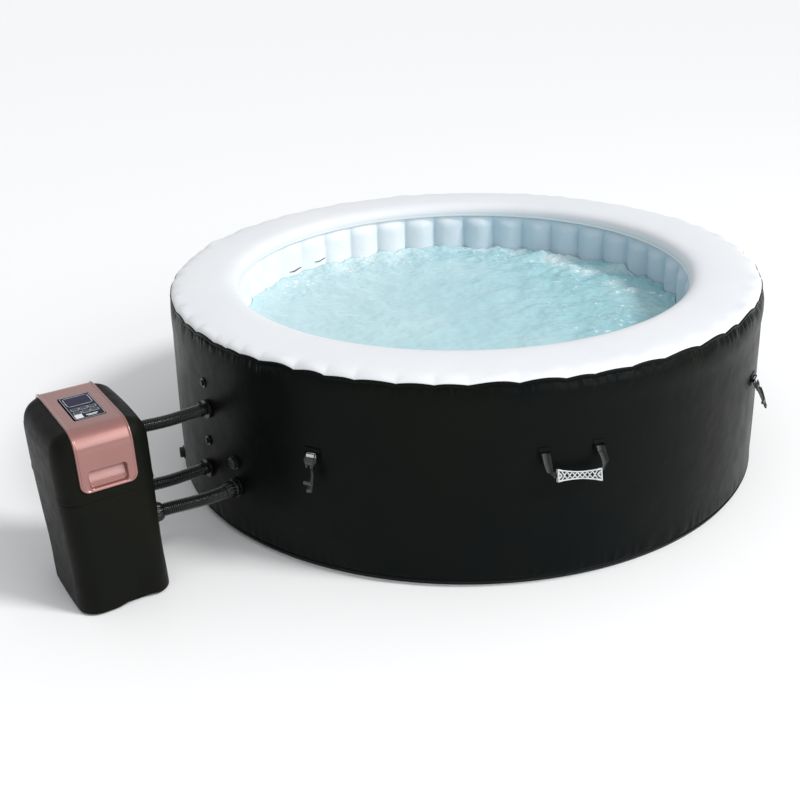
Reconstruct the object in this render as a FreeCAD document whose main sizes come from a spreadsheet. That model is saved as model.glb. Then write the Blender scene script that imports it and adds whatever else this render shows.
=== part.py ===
import FreeCAD, Part
import math
import os
import Sketcher
from FreeCAD import Placement, Rotation, Vector

# Inflatable hot tub with a separate pump and heater unit.
# Millimetres, +Z up. The origin is the centre of the tub's underside.
# The pump unit stands beside the tub at -X, with its front towards -Y.

os.makedirs("parts", exist_ok=True)
doc = FreeCAD.newDocument("inflatable_hot_tub")
sheet = doc.addObject("Spreadsheet::Sheet", "Dimensions")

CELLS = {
    # tub walls: radii are from the tub's axis, heights from the ground
    "skin": 2, "seam_radius": 1000, "seam_height": 633, "belly_radius": 1016,
    "belly_height": 340, "foot_radius": 1022, "foot_height": 40, "sole_radius": 1012,
    "floor_thickness": 4, "rim_crown_height": 651, "rim_inner_radius": 771,
    "inner_wall_radius": 790, "flute_peak_radius": 772, "inner_wall_top": 626,
    "flute_count": 40, "web_thickness": 1,
    "bubble_ring_radius": 745, "bubble_tube_radius": 14, "bubble_bore_radius": 11.5,
    # fittings through the tub wall
    "pipe_radius": 16.5, "pipe_bore": 12.5, "barb_radius": 14.8, "flange_radius": 30,
    "wall_hole_radius": 17,
    # hoses between the pump and the tub
    "hose_radius": 18, "hose_bore": 15, "air_hose_height": 395, "outlet_hose_height": 180,
    "inlet_hose_height": 180, "air_hose_y": -70, "outlet_hose_y": -45, "inlet_hose_y": -212,
    "nut_radius": 26, "nut_bore": 20, "nut_length": 32,
    # carry handles and lid straps
    "handle_pivot_height": 418, "handle_drop": 74, "handle_tilt": 27, "strap_width": 24,
    "strap_spread": 80, "webbing": 2.5, "eye_radius": 4, "eye_bore": 1.9, "pin_radius": 1.5,
    "grip_length": 132, "grip_end_radius": 17, "grip_waist_radius": 12, "grip_bore": 5.4,
    "lid_pivot_height": 385, "lid_tilt": 24, "lid_strap_width": 38, "lid_strap_length": 45,
    "buckle_width": 44, "buckle_length": 36, "buckle_thickness": 14, "patch_thickness": 2,
    "tongue_width": 36, "tongue_length": 18, "tongue_thickness": 9, "tail_width": 25,
    "tail_length": 26,
    # pump unit casing
    "pump_x": -1415, "pump_front": -352, "pump_width": 260, "pump_depth": 372,
    "pump_bottom": 4, "pump_top": 552, "casing": 3, "casing_round": 56, "casing_foot_round": 2.5,
    "split_height": 351, "band_width": 160, "band_thickness": 4, "band_bottom": 382,
    "band_back_bottom": 490, "band_lip": 6, "band_lip_width": 5,
    "recess_width": 108, "recess_height": 56, "recess_bottom": 390, "recess_depth": 24,
    "recess_wall": 2, "window_width": 140, "window_bottom": 386, "cup_gap": 0.2,
    "front_arch_x": -1385, "front_arch_height": 9, "front_arch_radius": 173,
    # control panel on top of the band
    "panel_x": -1412, "panel_y": -176, "panel_width": 86, "panel_length": 168,
    "display_width": 66, "display_length": 58, "display_y": -134,
    "key_width": 18, "key_length": 15, "key_pitch_x": 24, "key_pitch_y": 26, "key_row_y": -190,
    "key_gap": 0.4, "board_height": 540,
    # water pump, heater and blower inside the casing
    "water_pump_x": -1355, "volute_radius": 56, "volute_cavity": 50, "volute_length": 50,
    "impeller_radius": 44, "shaft_radius": 5, "motor_radius": 44, "motor_length": 110,
    "heater_radius": 30, "heater_length": 165, "heater_wall": 2,
    "blower_x": -1420, "blower_y": -115, "blower_radius": 60, "blower_length": 60,
    "blower_motor_radius": 34, "blower_motor_length": 78,
    "spigot_inner_x": -1320, "spigot_end_x": -1243,
}
for row, (alias, value) in enumerate(CELLS.items(), start=1):
    sheet.set("B%d" % row, str(value))
    sheet.setAlias("B%d" % row, alias)
doc.recompute()

FULL_TURN = 360
X_TO_Z = Rotation(Vector(0, 1, 0), -90)
X_TO_Y = Rotation(Vector(0, 0, 1), 90)
X_TO_MINUS_Y = Rotation(Vector(0, 0, 1), -90)
STRAIGHT = Rotation()
nodes = []


# ---- reading and linking dimensions -------------------------------------------------

def term(word):
    """One number or cell name, with an optional divisor such as pump_width/2."""
    divisor = 1.0
    if "/" in word:
        word, text = word.split("/")
        divisor = float(text)
    if word[0].isdigit():
        return float(word) / divisor
    return float(sheet.get(word)) / divisor


def size(spec):
    """The value of a plain number or of a sum such as 'seam_radius - skin'."""
    if not isinstance(spec, str):
        return float(spec)
    total = 0.0
    sign = 1.0
    for word in spec.split():
        if word == "+":
            sign = 1.0
        elif word == "-":
            sign = -1.0
        else:
            total += sign * term(word)
            sign = 1.0
    return total


def formula(spec):
    """The same sum as an expression on the sheet's cells."""
    words = []
    for word in spec.split():
        if word in "+-" or word[0].isdigit():
            words.append(word)
        else:
            words.append("Dimensions." + word)
    return " ".join(words)


def bind(obj, name, spec):
    setattr(obj, name, size(spec))
    if isinstance(spec, str):
        obj.setExpression(name, formula(spec))


def place(obj, at=(0, 0, 0), turn=STRAIGHT):
    obj.Placement = Placement(Vector(*[size(spec) for spec in at]), turn)
    for letter, spec in zip("xyz", at):
        if isinstance(spec, str):
            obj.setExpression("Placement.Base." + letter, formula(spec))
    return obj


# ---- building blocks ------------------------------------------------------------------

def box(name, low, sizes):
    obj = doc.addObject("Part::Box", name)
    for side, spec in zip(("Length", "Width", "Height"), sizes):
        bind(obj, side, spec)
    return place(obj, low)


def cylinder(name, radius, height, at, turn=STRAIGHT):
    obj = doc.addObject("Part::Cylinder", name)
    bind(obj, "Radius", radius)
    bind(obj, "Height", height)
    return place(obj, at, turn)


X_WARD = Rotation(Vector(0, 1, 0), 90)
Y_WARD = Rotation(Vector(1, 0, 0), -90)


def cut(name, base, tools):
    obj = doc.addObject("Part::Cut", name)
    obj.Base = base
    obj.Tool = tools[0] if len(tools) == 1 else join(name + "_tools", tools)
    return obj


def join(name, pieces):
    obj = doc.addObject("Part::MultiFuse", name)
    obj.Shapes = pieces
    return obj


def group(name, pieces):
    obj = doc.addObject("Part::Compound", name)
    obj.Links = pieces
    return obj


def common(name, first, second):
    obj = doc.addObject("Part::MultiCommon", name)
    obj.Shapes = [first, second]
    return obj


def keep(obj, name):
    """Name a finished sub-part and list it for export."""
    obj.Label = name
    nodes.append(obj)
    return obj


def copy_at(name, master, placement):
    """A placed copy of one master shape."""
    obj = group(name, [master])
    obj.Placement = placement
    return obj


def coded(name, shape):
    obj = doc.addObject("Part::Feature", name)
    obj.Shape = shape
    return obj


def origin_plane(body, role):
    for feature in body.Origin.OriginFeatures:
        if feature.Role == role:
            return feature
    raise ValueError(role)


def outline_sketch(body, name, role, outline):
    """A closed outline whose corners are each held by two linked distances."""
    sketch = body.newObject("Sketcher::SketchObject", name)
    sketch.AttachmentSupport = [(origin_plane(body, role), "")]
    sketch.MapMode = "FlatFace"
    spots = [Vector(size(a), size(b), 0) for a, b in outline]
    count = len(spots)
    for index in range(count):
        sketch.addGeometry(Part.LineSegment(spots[index], spots[(index + 1) % count]), False)
    for index in range(count):
        following = (index + 1) % count
        sketch.addConstraint(Sketcher.Constraint("Coincident", index, 2, following, 1))
    for index, pair in enumerate(outline):
        for kind, spec, value in zip(("DistanceX", "DistanceY"), pair, spots[index]):
            number = sketch.addConstraint(Sketcher.Constraint(kind, -1, 1, index, 1, value))
            if isinstance(spec, str):
                sketch.setExpression("Constraints[%d]" % number, formula(spec))
    return sketch


def turned(name, outline, at=(0, 0, 0), turn=STRAIGHT):
    """A lathe part: (along X, radius) points turned about X, then placed."""
    body = doc.addObject("PartDesign::Body", name)
    sketch = outline_sketch(body, name + "_outline", "XZ_Plane", outline)
    revolution = body.newObject("PartDesign::Revolution", name + "_turning")
    revolution.Profile = sketch
    revolution.ReferenceAxis = (sketch, ["H_Axis"])
    revolution.Angle = FULL_TURN
    return place(body, at, turn)


def ring_outline(start, end, bore, radius):
    return [(start, bore), (end, bore), (end, radius), (start, radius)]


def rounded_box(name, low, sizes, side_round, top_round, foot_round):
    """A box with rounded upright, top and bottom edges; a radius of 0 leaves them sharp."""
    block = box(name + "_block", low, sizes)
    doc.recompute()
    bottom = block.Shape.BoundBox.ZMin
    top = block.Shape.BoundBox.ZMax
    edges = []
    for index, edge in enumerate(block.Shape.Edges, start=1):
        box_of_edge = edge.BoundBox
        if box_of_edge.ZLength > 1:
            radius = side_round
        elif abs(box_of_edge.ZMin - top) < 1:
            radius = top_round
        elif abs(box_of_edge.ZMin - bottom) < 1:
            radius = foot_round
        if size(radius) > 0:
            edges.append((index, size(radius), size(radius)))
    obj = doc.addObject("Part::Fillet", name)
    obj.Base = block
    obj.Edges = edges
    return obj


def around(angle):
    """A turn about the tub's axis, so that local +X points outward at this angle."""
    return Rotation(Vector(0, 0, 1), angle)


# ---- tub walls ---------------------------------------------------------------------------

WALL_SPOTS = [("seam_radius", "seam_height"), ("belly_radius", "belly_height"),
              ("foot_radius", "foot_height")]


def wall_circle():
    """Centre radius, centre height and radius of the outer wall's side view arc."""
    spots = [Vector(size(r), 0, size(z)) for r, z in WALL_SPOTS]
    curve = Part.Arc(*spots).toShape().Curve
    return curve.Center.x, curve.Center.z, curve.Radius


def wall_radius(height):
    centre_r, centre_z, radius = wall_circle()
    return centre_r + math.sqrt(radius ** 2 - (height - centre_z) ** 2)


WALL_CLEARANCE = 0.3


def flat_gap(height, radius):
    """How far a flat disc of this radius must stand off the leaning wall to clear it."""
    return wall_radius(size(height) - radius) - wall_radius(size(height)) + WALL_CLEARANCE


def wall_lean(height):
    """The turn that lays a flat patch against the leaning wall at this height."""
    step = 10
    slope = (wall_radius(height - step) - wall_radius(height + step)) / (2 * step)
    return Rotation(Vector(0, 1, 0), -math.degrees(math.atan(slope)))


def side_point(radius, height):
    return Vector(radius, 0, height)


def revolve_edges(edges):
    face = Part.Face(Part.Wire(edges))
    return face.revolve(Vector(0, 0, 0), Vector(0, 0, 1), FULL_TURN)


def arc(first, middle, last):
    return Part.Arc(first, middle, last).toShape()


def line(first, last):
    return Part.LineSegment(first, last).toShape()


skin = size("skin")
ground_top = size("floor_thickness")
wall_top, wall_belly, wall_foot = [Vector(size(r), 0, size(z)) for r, z in WALL_SPOTS]
inward = Vector(-skin, 0, 0)
sole = side_point(size("sole_radius"), ground_top)
heel = side_point(size("foot_radius") - 3.9, 17)

outer_blank = coded("outer_wall_blank", revolve_edges([
    arc(wall_top, wall_belly, wall_foot), arc(wall_foot, heel, sole), line(sole, sole + inward),
    arc(sole + inward, heel + inward, wall_foot + inward),
    arc(wall_foot + inward, wall_belly + inward, wall_top + inward),
    line(wall_top + inward, wall_top)]))


def flute_wire(peak_radius, web_radius):
    """The inner wall in plan: one shallow arc between each pair of webs."""
    count = int(size("flute_count"))
    step = 2 * math.pi / count
    edges = []
    for index in range(count):
        spots = []
        for part, radius in ((0, web_radius), (0.5, peak_radius), (1, web_radius)):
            angle = (index + part) * step
            spots.append(Vector(radius * math.cos(angle), radius * math.sin(angle), ground_top))
        edges.append(arc(*spots))
    return Part.Wire(edges)


inner_radius = size("inner_wall_radius")
peak_radius = size("flute_peak_radius")
inner_top = size("inner_wall_top")
bath_outline = Part.Face(flute_wire(peak_radius, inner_radius))
inner_section = Part.Face(flute_wire(peak_radius + skin, inner_radius + skin)).cut(bath_outline)
inner_blank = coded("inner_wall_blank",
                    inner_section.extrude(Vector(0, 0, inner_top - ground_top)))

# the crowned white top panel, from the outer seam to the inner edge
seam = size("seam_radius")
crown = size("rim_crown_height")
rim_edge = size("rim_inner_radius")
RIM_LIFT = 0.3
rim_top = [side_point(seam, size("seam_height")), side_point(seam - 6, crown - 7),
           side_point(seam - 30, crown - 2), side_point(0.5 * (seam + rim_edge), crown),
           side_point(rim_edge + 29, crown - 7), side_point(rim_edge + 7, crown - 11),
           side_point(rim_edge, inner_top + RIM_LIFT)]
rim_under = [rim_top[0] + inward, side_point(seam - 7.5, crown - 8.6),
             side_point(seam - 30.4, crown - 4), side_point(0.5 * (seam + rim_edge), crown - skin),
             side_point(rim_edge + 29.4, crown - 9), side_point(rim_edge + 8.7, crown - 12.4),
             rim_top[6] - inward]
rim_edges = []
for start in (0, 2, 4):
    rim_edges.append(arc(*rim_top[start:start + 3]))
rim_edges.append(line(rim_top[6], rim_under[6]))
for start in (6, 4, 2):
    rim_edges.append(arc(rim_under[start], rim_under[start - 1], rim_under[start - 2]))
rim_edges.append(line(rim_under[0], rim_top[0]))
keep(coded("top_rim", revolve_edges(rim_edges)), "top_rim")

keep(cylinder("tub_floor", "sole_radius", "floor_thickness", (0, 0, 0)), "tub_floor")


def web_strip():
    """One radial strip that ties the inner wall to the outer wall."""
    clear = Vector(-skin - 0.1, 0, 0)
    low = ground_top + 0.2
    near = inner_radius + skin + 0.1
    foot = wall_foot + clear
    arch = side_point(wall_radius(inner_top) - skin - 0.1, inner_top)
    edges = [line(side_point(near, low), side_point(sole.x - skin - 2, low)),
             line(side_point(sole.x - skin - 2, low), foot), arc(foot, wall_belly + clear, arch),
             line(arch, side_point(near, inner_top)),
             line(side_point(near, inner_top), side_point(near, low))]
    thickness = size("web_thickness")
    strip = Part.Face(Part.Wire(edges)).extrude(Vector(0, thickness, 0))
    strip.translate(Vector(0, -thickness / 2, 0))
    return strip


web_step = FULL_TURN / size("flute_count")
web_master = web_strip()
webs = []
for index in range(int(size("flute_count"))):
    web = web_master.copy()
    web.rotate(Vector(0, 0, 0), Vector(0, 0, 1), index * web_step)
    webs.append(web)
keep(coded("tension_webs", Part.makeCompound(webs)), "tension_webs")

ring_height = "floor_thickness + bubble_tube_radius + 0.3"
ring_solid = doc.addObject("Part::Torus", "bubble_ring_solid")
ring_bore = doc.addObject("Part::Torus", "bubble_ring_bore")
for torus, small in ((ring_solid, "bubble_tube_radius"), (ring_bore, "bubble_bore_radius")):
    bind(torus, "Radius1", "bubble_ring_radius")
    bind(torus, "Radius2", small)
    place(torus, (0, 0, ring_height))
keep(cut("bubble_ring", ring_solid, [ring_bore]), "bubble_ring")


# ---- fittings through the wall ---------------------------------------------------------------

def wall_angle(y_spec, height):
    """The angle at which a hose at this Y meets the wall on the pump's side."""
    return 180 - math.degrees(math.asin(size(y_spec) / wall_radius(size(height))))


HOSES = {
    "air": ("air_hose_y", "air_hose_height"),
    "outlet": ("outlet_hose_y", "outlet_hose_height"),
    "inlet": ("inlet_hose_y", "inlet_hose_height"),
}
INNER_FACE = 760
FLANGE_THICKNESS = 6
GASKET_THICKNESS = 2
BARB_LENGTH = 38


def radial_hole(name, radius, height, angle):
    """A tool that cuts one hole through both walls."""
    tool = cylinder(name, radius, 400, (0, 0, 0))
    turn = around(angle).multiply(X_WARD)
    start = around(angle).multVec(Vector(700, 0, size(height)))
    tool.Placement = Placement(start, turn)
    return tool


hole_tools = []
fittings = []
gaskets = []
hose_ends = {}
for hose, (y_spec, height) in HOSES.items():
    angle = wall_angle(y_spec, height)
    gasket_start = wall_radius(size(height)) + flat_gap(height, size("flange_radius"))
    flange = gasket_start + GASKET_THICKNESS
    barb_end = flange + FLANGE_THICKNESS + BARB_LENGTH
    fittings.append(turned("wall_fitting_" + hose, [
        (INNER_FACE, "pipe_bore"), (barb_end, "pipe_bore"), (barb_end, "barb_radius"),
        (flange + FLANGE_THICKNESS, "barb_radius"), (flange + FLANGE_THICKNESS, "flange_radius"),
        (flange, "flange_radius"), (flange, "pipe_radius"),
        (INNER_FACE + FLANGE_THICKNESS, "pipe_radius"),
        (INNER_FACE + FLANGE_THICKNESS, "flange_radius"), (INNER_FACE, "flange_radius")],
        (0, 0, height), around(angle)))
    for side, start in (("outer", gasket_start), ("inner", INNER_FACE + FLANGE_THICKNESS)):
        gaskets.append(turned("gasket_%s_%s" % (side, hose), ring_outline(
            start, start + GASKET_THICKNESS, "pipe_radius + 0.3", "flange_radius - 1"),
            (0, 0, height), around(angle)))
    hole_tools.append(radial_hole("hole_" + hose, "wall_hole_radius", height, angle))
    hose_ends[hose] = (angle, flange + FLANGE_THICKNESS)
keep(group("wall_fittings", fittings), "wall_fittings")
keep(group("fitting_gaskets", gaskets), "fitting_gaskets")

# inflation valve above the inlet hose, with a screw cap
VALVE_HEIGHT = 263
VALVE_DEPTH = 30
VALVE_FLANGE = 22
valve_angle = 180 - math.degrees(math.asin(-209 / wall_radius(VALVE_HEIGHT)))
valve_face = wall_radius(VALVE_HEIGHT)
valve_start = valve_face + flat_gap(VALVE_HEIGHT, VALVE_FLANGE)
keep(turned("inflation_valve", [
    (valve_face - VALVE_DEPTH, 9), (valve_face + 7, 9), (valve_face + 7, 14.5),
    (valve_face + 3, 14.5), (valve_face + 3, VALVE_FLANGE), (valve_start, VALVE_FLANGE),
    (valve_start, 12),
    (valve_face - VALVE_DEPTH, 12)], (0, 0, VALVE_HEIGHT), around(valve_angle)),
    "inflation_valve")
keep(turned("inflation_valve_cap", [
    (valve_face + 7.4, 0), (valve_face + 11, 0), (valve_face + 12, 15), (valve_face + 11, 18),
    (valve_face + 3.5, 18), (valve_face + 3.5, 15), (valve_face + 7.4, 15)],
    (0, 0, VALVE_HEIGHT), around(valve_angle)), "inflation_valve_cap")

# two small check valves: one above the air hose and one below it
CHECK_VALVES = (("upper", -54, 476), ("lower", -61, 283))
CHECK_FLANGE = 16
small_valves = []
for label, y_place, height in CHECK_VALVES:
    angle = 180 - math.degrees(math.asin(y_place / wall_radius(height)))
    face = wall_radius(height)
    start = face + flat_gap(height, CHECK_FLANGE)
    small_valves.append(turned("check_valve_" + label, [
        (face - 20, 0), (face + 9, 0), (face + 10, 6), (face + 8, 9), (face + 4, 9),
        (face + 4, CHECK_FLANGE), (start, CHECK_FLANGE), (start, 9), (face - 20, 9)],
        (0, 0, height), around(angle)))
    hole_tools.append(radial_hole("hole_check_" + label, 9.5, height, angle))
keep(group("check_valves", small_valves), "check_valves")

# drain outlet low in the wall, behind the pump
DRAIN_HEIGHT = 48
DRAIN_ANGLE = 160
drain_face = wall_radius(DRAIN_HEIGHT)
keep(turned("drain_valve", [
    (INNER_FACE, 9), (drain_face + 13, 9), (drain_face + 13, 14), (drain_face + 5, 14),
    (drain_face + 5, 24), (drain_face + 0.6, 24), (drain_face + 0.6, 12), (INNER_FACE + 5, 12),
    (INNER_FACE + 5, 24), (INNER_FACE, 24)], (0, 0, DRAIN_HEIGHT), around(DRAIN_ANGLE)),
    "drain_valve")
keep(turned("drain_cap", [
    (drain_face + 13.4, 0), (drain_face + 17, 0), (drain_face + 18, 15), (drain_face + 16.5, 19),
    (drain_face + 5.5, 19), (drain_face + 5.5, 14.6), (drain_face + 13.4, 14.6)],
    (0, 0, DRAIN_HEIGHT), around(DRAIN_ANGLE)), "drain_cap")

hole_tools.append(radial_hole("hole_drain", 12.5, DRAIN_HEIGHT, DRAIN_ANGLE))
OUTER_HOLES_ONLY = ("hole_check_upper", "hole_check_lower")
valve_hole = radial_hole("hole_valve", 12.5, VALVE_HEIGHT, valve_angle)
inner_tools = [tool for tool in hole_tools if tool.Name not in OUTER_HOLES_ONLY]
keep(cut("outer_wall", outer_blank, hole_tools + [valve_hole]), "outer_wall")
keep(cut("inner_wall", inner_blank, inner_tools), "inner_wall")

# filter housing on the inner end of the inlet fitting, open at the top
inlet_angle = hose_ends["inlet"][0]
FILTER_RADIUS = 56
FILTER_BOTTOM = 110
FILTER_HEIGHT = 150
filter_spot = around(inlet_angle).multVec(Vector(INNER_FACE - FILTER_RADIUS - 0.5, 0, 0))
filter_place = (filter_spot.x, filter_spot.y, FILTER_BOTTOM)
keep(turned("filter_housing", [
    (0, 0), (FILTER_HEIGHT, 0), (FILTER_HEIGHT, 20), (FILTER_HEIGHT - 3, 20), (FILTER_HEIGHT - 3, 4),
    (4, 4), (4, FILTER_RADIUS - 3), (FILTER_HEIGHT, FILTER_RADIUS - 3),
    (FILTER_HEIGHT, FILTER_RADIUS), (0, FILTER_RADIUS)], filter_place, X_TO_Z),
    "filter_housing")
keep(turned("filter_cartridge", ring_outline(5, FILTER_HEIGHT - 6, 22, FILTER_RADIUS - 8),
            filter_place, X_TO_Z), "filter_cartridge")


# ---- carry handles and lid straps ---------------------------------------------------------------

handle_surface = wall_radius(size("handle_pivot_height"))
spread = size("strap_spread")
strap_sagitta = handle_surface - math.sqrt(handle_surface ** 2 - spread ** 2)
PIVOT_STAND_OFF = 8
handle_pivot_x = handle_surface - strap_sagitta + PIVOT_STAND_OFF
lid_surface = wall_radius(size("lid_pivot_height"))
lid_pivot_x = lid_surface + PIVOT_STAND_OFF
HANDLE_ANGLES = (-108, 72)
LID_ANGLES = (-150, -60, 30, 120)
CHEEK = 3


def webbing_eye(name, y_low, width):
    """The sewn loop round a pin: a bored roll with its axis along Y."""
    roll = cylinder(name + "_roll", "eye_radius", width, (0, y_low, 0), Y_WARD)
    return roll, cylinder(name + "_bore", "eye_bore", width, (0, y_low, 0), Y_WARD)


left_low = "0 - strap_spread - strap_width/2"
right_low = "strap_spread - strap_width/2"
strap_pieces = []
strap_bores = []
for side, low in (("left", left_low), ("right", right_low)):
    roll, bore = webbing_eye("handle_eye_" + side, low, "strap_width")
    strap_pieces.append(roll)
    strap_pieces.append(box("handle_web_" + side, ("0 - webbing/2", low, "0 - handle_drop"),
                            ("webbing", "strap_width", "handle_drop")))
    strap_bores.append(bore)
strap_pieces.append(cylinder("handle_cross", 5, "strap_spread + strap_spread + strap_width",
                             (0, left_low, "0 - handle_drop"), Y_WARD))
strap_master = cut("handle_strap_master", join("handle_strap_solid", strap_pieces), strap_bores)

half_grip = size("grip_length") / 2
grip_master = group("grip_master", [turned("grip_body", [
    (-half_grip, "grip_bore"), (half_grip, "grip_bore"), (half_grip, "grip_end_radius - 2"),
    (half_grip - 4, "grip_end_radius"), (half_grip - 16, "grip_end_radius"),
    (16, "grip_waist_radius"), (-16, "grip_waist_radius"), (16 - half_grip, "grip_end_radius"),
    (4 - half_grip, "grip_end_radius"), (-half_grip, "grip_end_radius - 2")],
    (0, 0, "0 - handle_drop"), X_TO_Y)])

lid_half = "0 - lid_strap_width/2"
lid_roll, lid_bore = webbing_eye("lid_eye", lid_half, "lid_strap_width")
lid_web = box("lid_web", ("0 - webbing/2", lid_half, "0 - lid_strap_length"),
              ("webbing", "lid_strap_width", "lid_strap_length"))
lid_webbing = cut("lid_webbing", join("lid_webbing_solid", [lid_roll, lid_web]), [lid_bore])
buckle_top = "0 - lid_strap_length"
buckle = rounded_box("buckle_socket", (
    "0 - buckle_thickness/2", "0 - buckle_width/2", buckle_top + " - buckle_length"),
    ("buckle_thickness", "buckle_width", "buckle_length"), 4, 3, 3)
tongue_end = buckle_top + " - buckle_length - tongue_length"
tongue = rounded_box("buckle_tongue", (
    "0 - tongue_thickness/2", "0 - tongue_width/2", tongue_end),
    ("tongue_thickness", "tongue_width", "tongue_length"), 3, 0, 2)
tail = box("lid_tail", ("0 - webbing/2", "0 - tail_width/2", tongue_end + " - tail_length"),
           ("webbing", "tail_width", "tail_length"))
lid_master = group("lid_strap_master", [lid_webbing, buckle, tongue, tail])


def hung(angle, pivot_x, pivot_height, tilt):
    """Where a strap hangs: its pivot on the wall and its lean away from the wall."""
    wall_place = Placement(Vector(0, 0, 0), around(angle))
    lean = Rotation(Vector(0, 1, 0), -size(tilt))
    return wall_place.multiply(Placement(Vector(pivot_x, 0, size(pivot_height)), lean))


for index, angle in enumerate(HANDLE_ANGLES, start=1):
    spot = hung(angle, handle_pivot_x, "handle_pivot_height", "handle_tilt")
    for label, master in (("handle_strap_%d" % index, strap_master),
                          ("handle_grip_%d" % index, grip_master)):
        keep(copy_at(label, master, spot), label)
for index, angle in enumerate(LID_ANGLES, start=1):
    spot = hung(angle, lid_pivot_x, "lid_pivot_height", "lid_tilt")
    keep(copy_at("lid_strap_%d" % index, lid_master, spot), "lid_strap_%d" % index)


PATCH_HEIGHT = 34
PATCH_MARGIN = 6
PATCH_GAP = 0.7


def anchor(name, pivot_x, surface, y_place, width, height, angle):
    """A welded patch on the wall with two cheeks that hold the strap's pin."""
    patch_angle = math.degrees(math.asin(y_place / surface))
    patch = box(name + "_patch", (PATCH_GAP, -width / 2 - PATCH_MARGIN, -PATCH_HEIGHT / 2),
                ("patch_thickness", width + 2 * PATCH_MARGIN, PATCH_HEIGHT))
    laid = Placement(Vector(surface, 0, 0), wall_lean(height)).multiply(patch.Placement)
    patch.Placement = Placement(Vector(0, 0, 0), around(patch_angle)).multiply(laid)
    pieces = [patch]
    cheek_start = surface + 1.5
    if y_place:
        cheek_start = math.sqrt(surface ** 2 - y_place ** 2) + 1.9
    reach = pivot_x + 3 - cheek_start
    for side in (-1, 1):
        middle = y_place + side * (width / 2 + 0.5 + CHEEK / 2)
        pieces.append(box("%s_cheek_%d" % (name, side + 1), (cheek_start, middle - CHEEK / 2, -4),
                          (reach, CHEEK, 8)))
    pieces.append(cylinder(name + "_pin", "pin_radius", width + 4,
                           (pivot_x, y_place - width / 2 - 2, 0), Y_WARD))
    whole = join(name, pieces)
    whole.Placement = Placement(around(angle).multVec(Vector(0, 0, height)), around(angle))
    return whole


anchors = []
strap_width = size("strap_width")
for index, angle in enumerate(HANDLE_ANGLES, start=1):
    for side in (-1, 1):
        anchors.append(anchor("handle_anchor_%d_%d" % (index, side + 1), handle_pivot_x,
                              handle_surface, side * spread, strap_width,
                              size("handle_pivot_height"), angle))
for index, angle in enumerate(LID_ANGLES, start=1):
    anchors.append(anchor("lid_anchor_%d" % index, lid_pivot_x, lid_surface, 0,
                          size("lid_strap_width"), size("lid_pivot_height"), angle))
keep(group("anchor_patches", anchors), "anchor_patches")


# ---- pump casing ---------------------------------------------------------------------------------

left = "pump_x - pump_width/2"
casing_low = (left, "pump_front", "pump_bottom")
casing_sizes = ("pump_width", "pump_depth", "pump_top - pump_bottom")
casing_outer = rounded_box("casing_outer", casing_low, casing_sizes,
                           "casing_round", "casing_round", "casing_foot_round")
inside_low = (left + " + casing", "pump_front + casing", "pump_bottom - 1")
inside_sizes = ("pump_width - casing - casing", "pump_depth - casing - casing",
                "pump_top - pump_bottom - casing + 1")
casing_inside = rounded_box("casing_inside", inside_low, inside_sizes,
                            "casing_round - casing", "casing_round - casing", 0)
casing_shell = cut("casing_shell", casing_outer, [casing_inside])

below_split = box("below_split", ("pump_x - 300", "pump_front - 100", 0),
                  (600, 700, "split_height"))
above_split = box("above_split", ("pump_x - 300", "pump_front - 100", "split_height"),
                  (600, 700, 400))

SCREW_SPOTS = (("front", -1348, 97), ("rear_right", -1348, 97), ("rear_left", -1482, 97),
               ("rear_top", -1482, 440))
screw_holes = []
screws = []
for label, x_place, height in SCREW_SPOTS:
    if label == "front":
        face = "pump_front"
        turn = X_TO_MINUS_Y
    else:
        face = "pump_front + pump_depth"
        turn = X_TO_Y
    screws.append(turned("screw_" + label, [
        (-14, 0), (1.4, 0), (0.8, 4), (0, 5), (0, 2.4), (-14, 2.4)],
        (x_place, face, height), turn))
    screw_holes.append(cylinder("screw_hole_" + label, 2.6, 40,
                                (x_place, face + " - 20", height), Y_WARD))
keep(group("housing_screws", screws), "housing_screws")

spigot_holes = []
for hose, (y_spec, height) in HOSES.items():
    spigot_holes.append(cylinder("spigot_hole_" + hose, 17.2, 60,
                                 ("spigot_inner_x + 10", y_spec, height), X_WARD))
gland_hole = cylinder("gland_hole", 9.2, 40, (-1480, 0, 60), Y_WARD)

lower_shell = common("lower_shell", casing_shell, below_split)
front_arch = cylinder("front_arch", "front_arch_radius", 30,
                      ("front_arch_x", "pump_front - 10",
                       "pump_bottom + front_arch_height - front_arch_radius"), Y_WARD)
keep(cut("pump_lower_housing", lower_shell, [spigot_holes[1], spigot_holes[2], gland_hole,
                                             front_arch] + screw_holes[:3]),
     "pump_lower_housing")

# the hood is open behind the band's front and over its bend
hood_window = box("hood_window", ("pump_x - window_width/2", "pump_front - 10", "window_bottom"),
                  ("window_width", "casing_round + 14", 300))
panel_hole = box("hood_panel_hole", ("panel_x - panel_width/2 + 3",
                                     "panel_y - panel_length/2 + 3", "pump_top - 20"),
                 ("panel_width - 6", "panel_length - 6", 40))
vent_slots = []
for index in range(6):
    vent_slots.append(box("vent_slot_%d" % index, (-1460, 0, 385 + index * 12), (90, 40, 5)))
hood_shell = common("hood_shell", casing_shell, above_split)
keep(cut("pump_hood", hood_shell, [spigot_holes[0], hood_window, panel_hole, screw_holes[3]]
         + vent_slots), "pump_hood")


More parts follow.
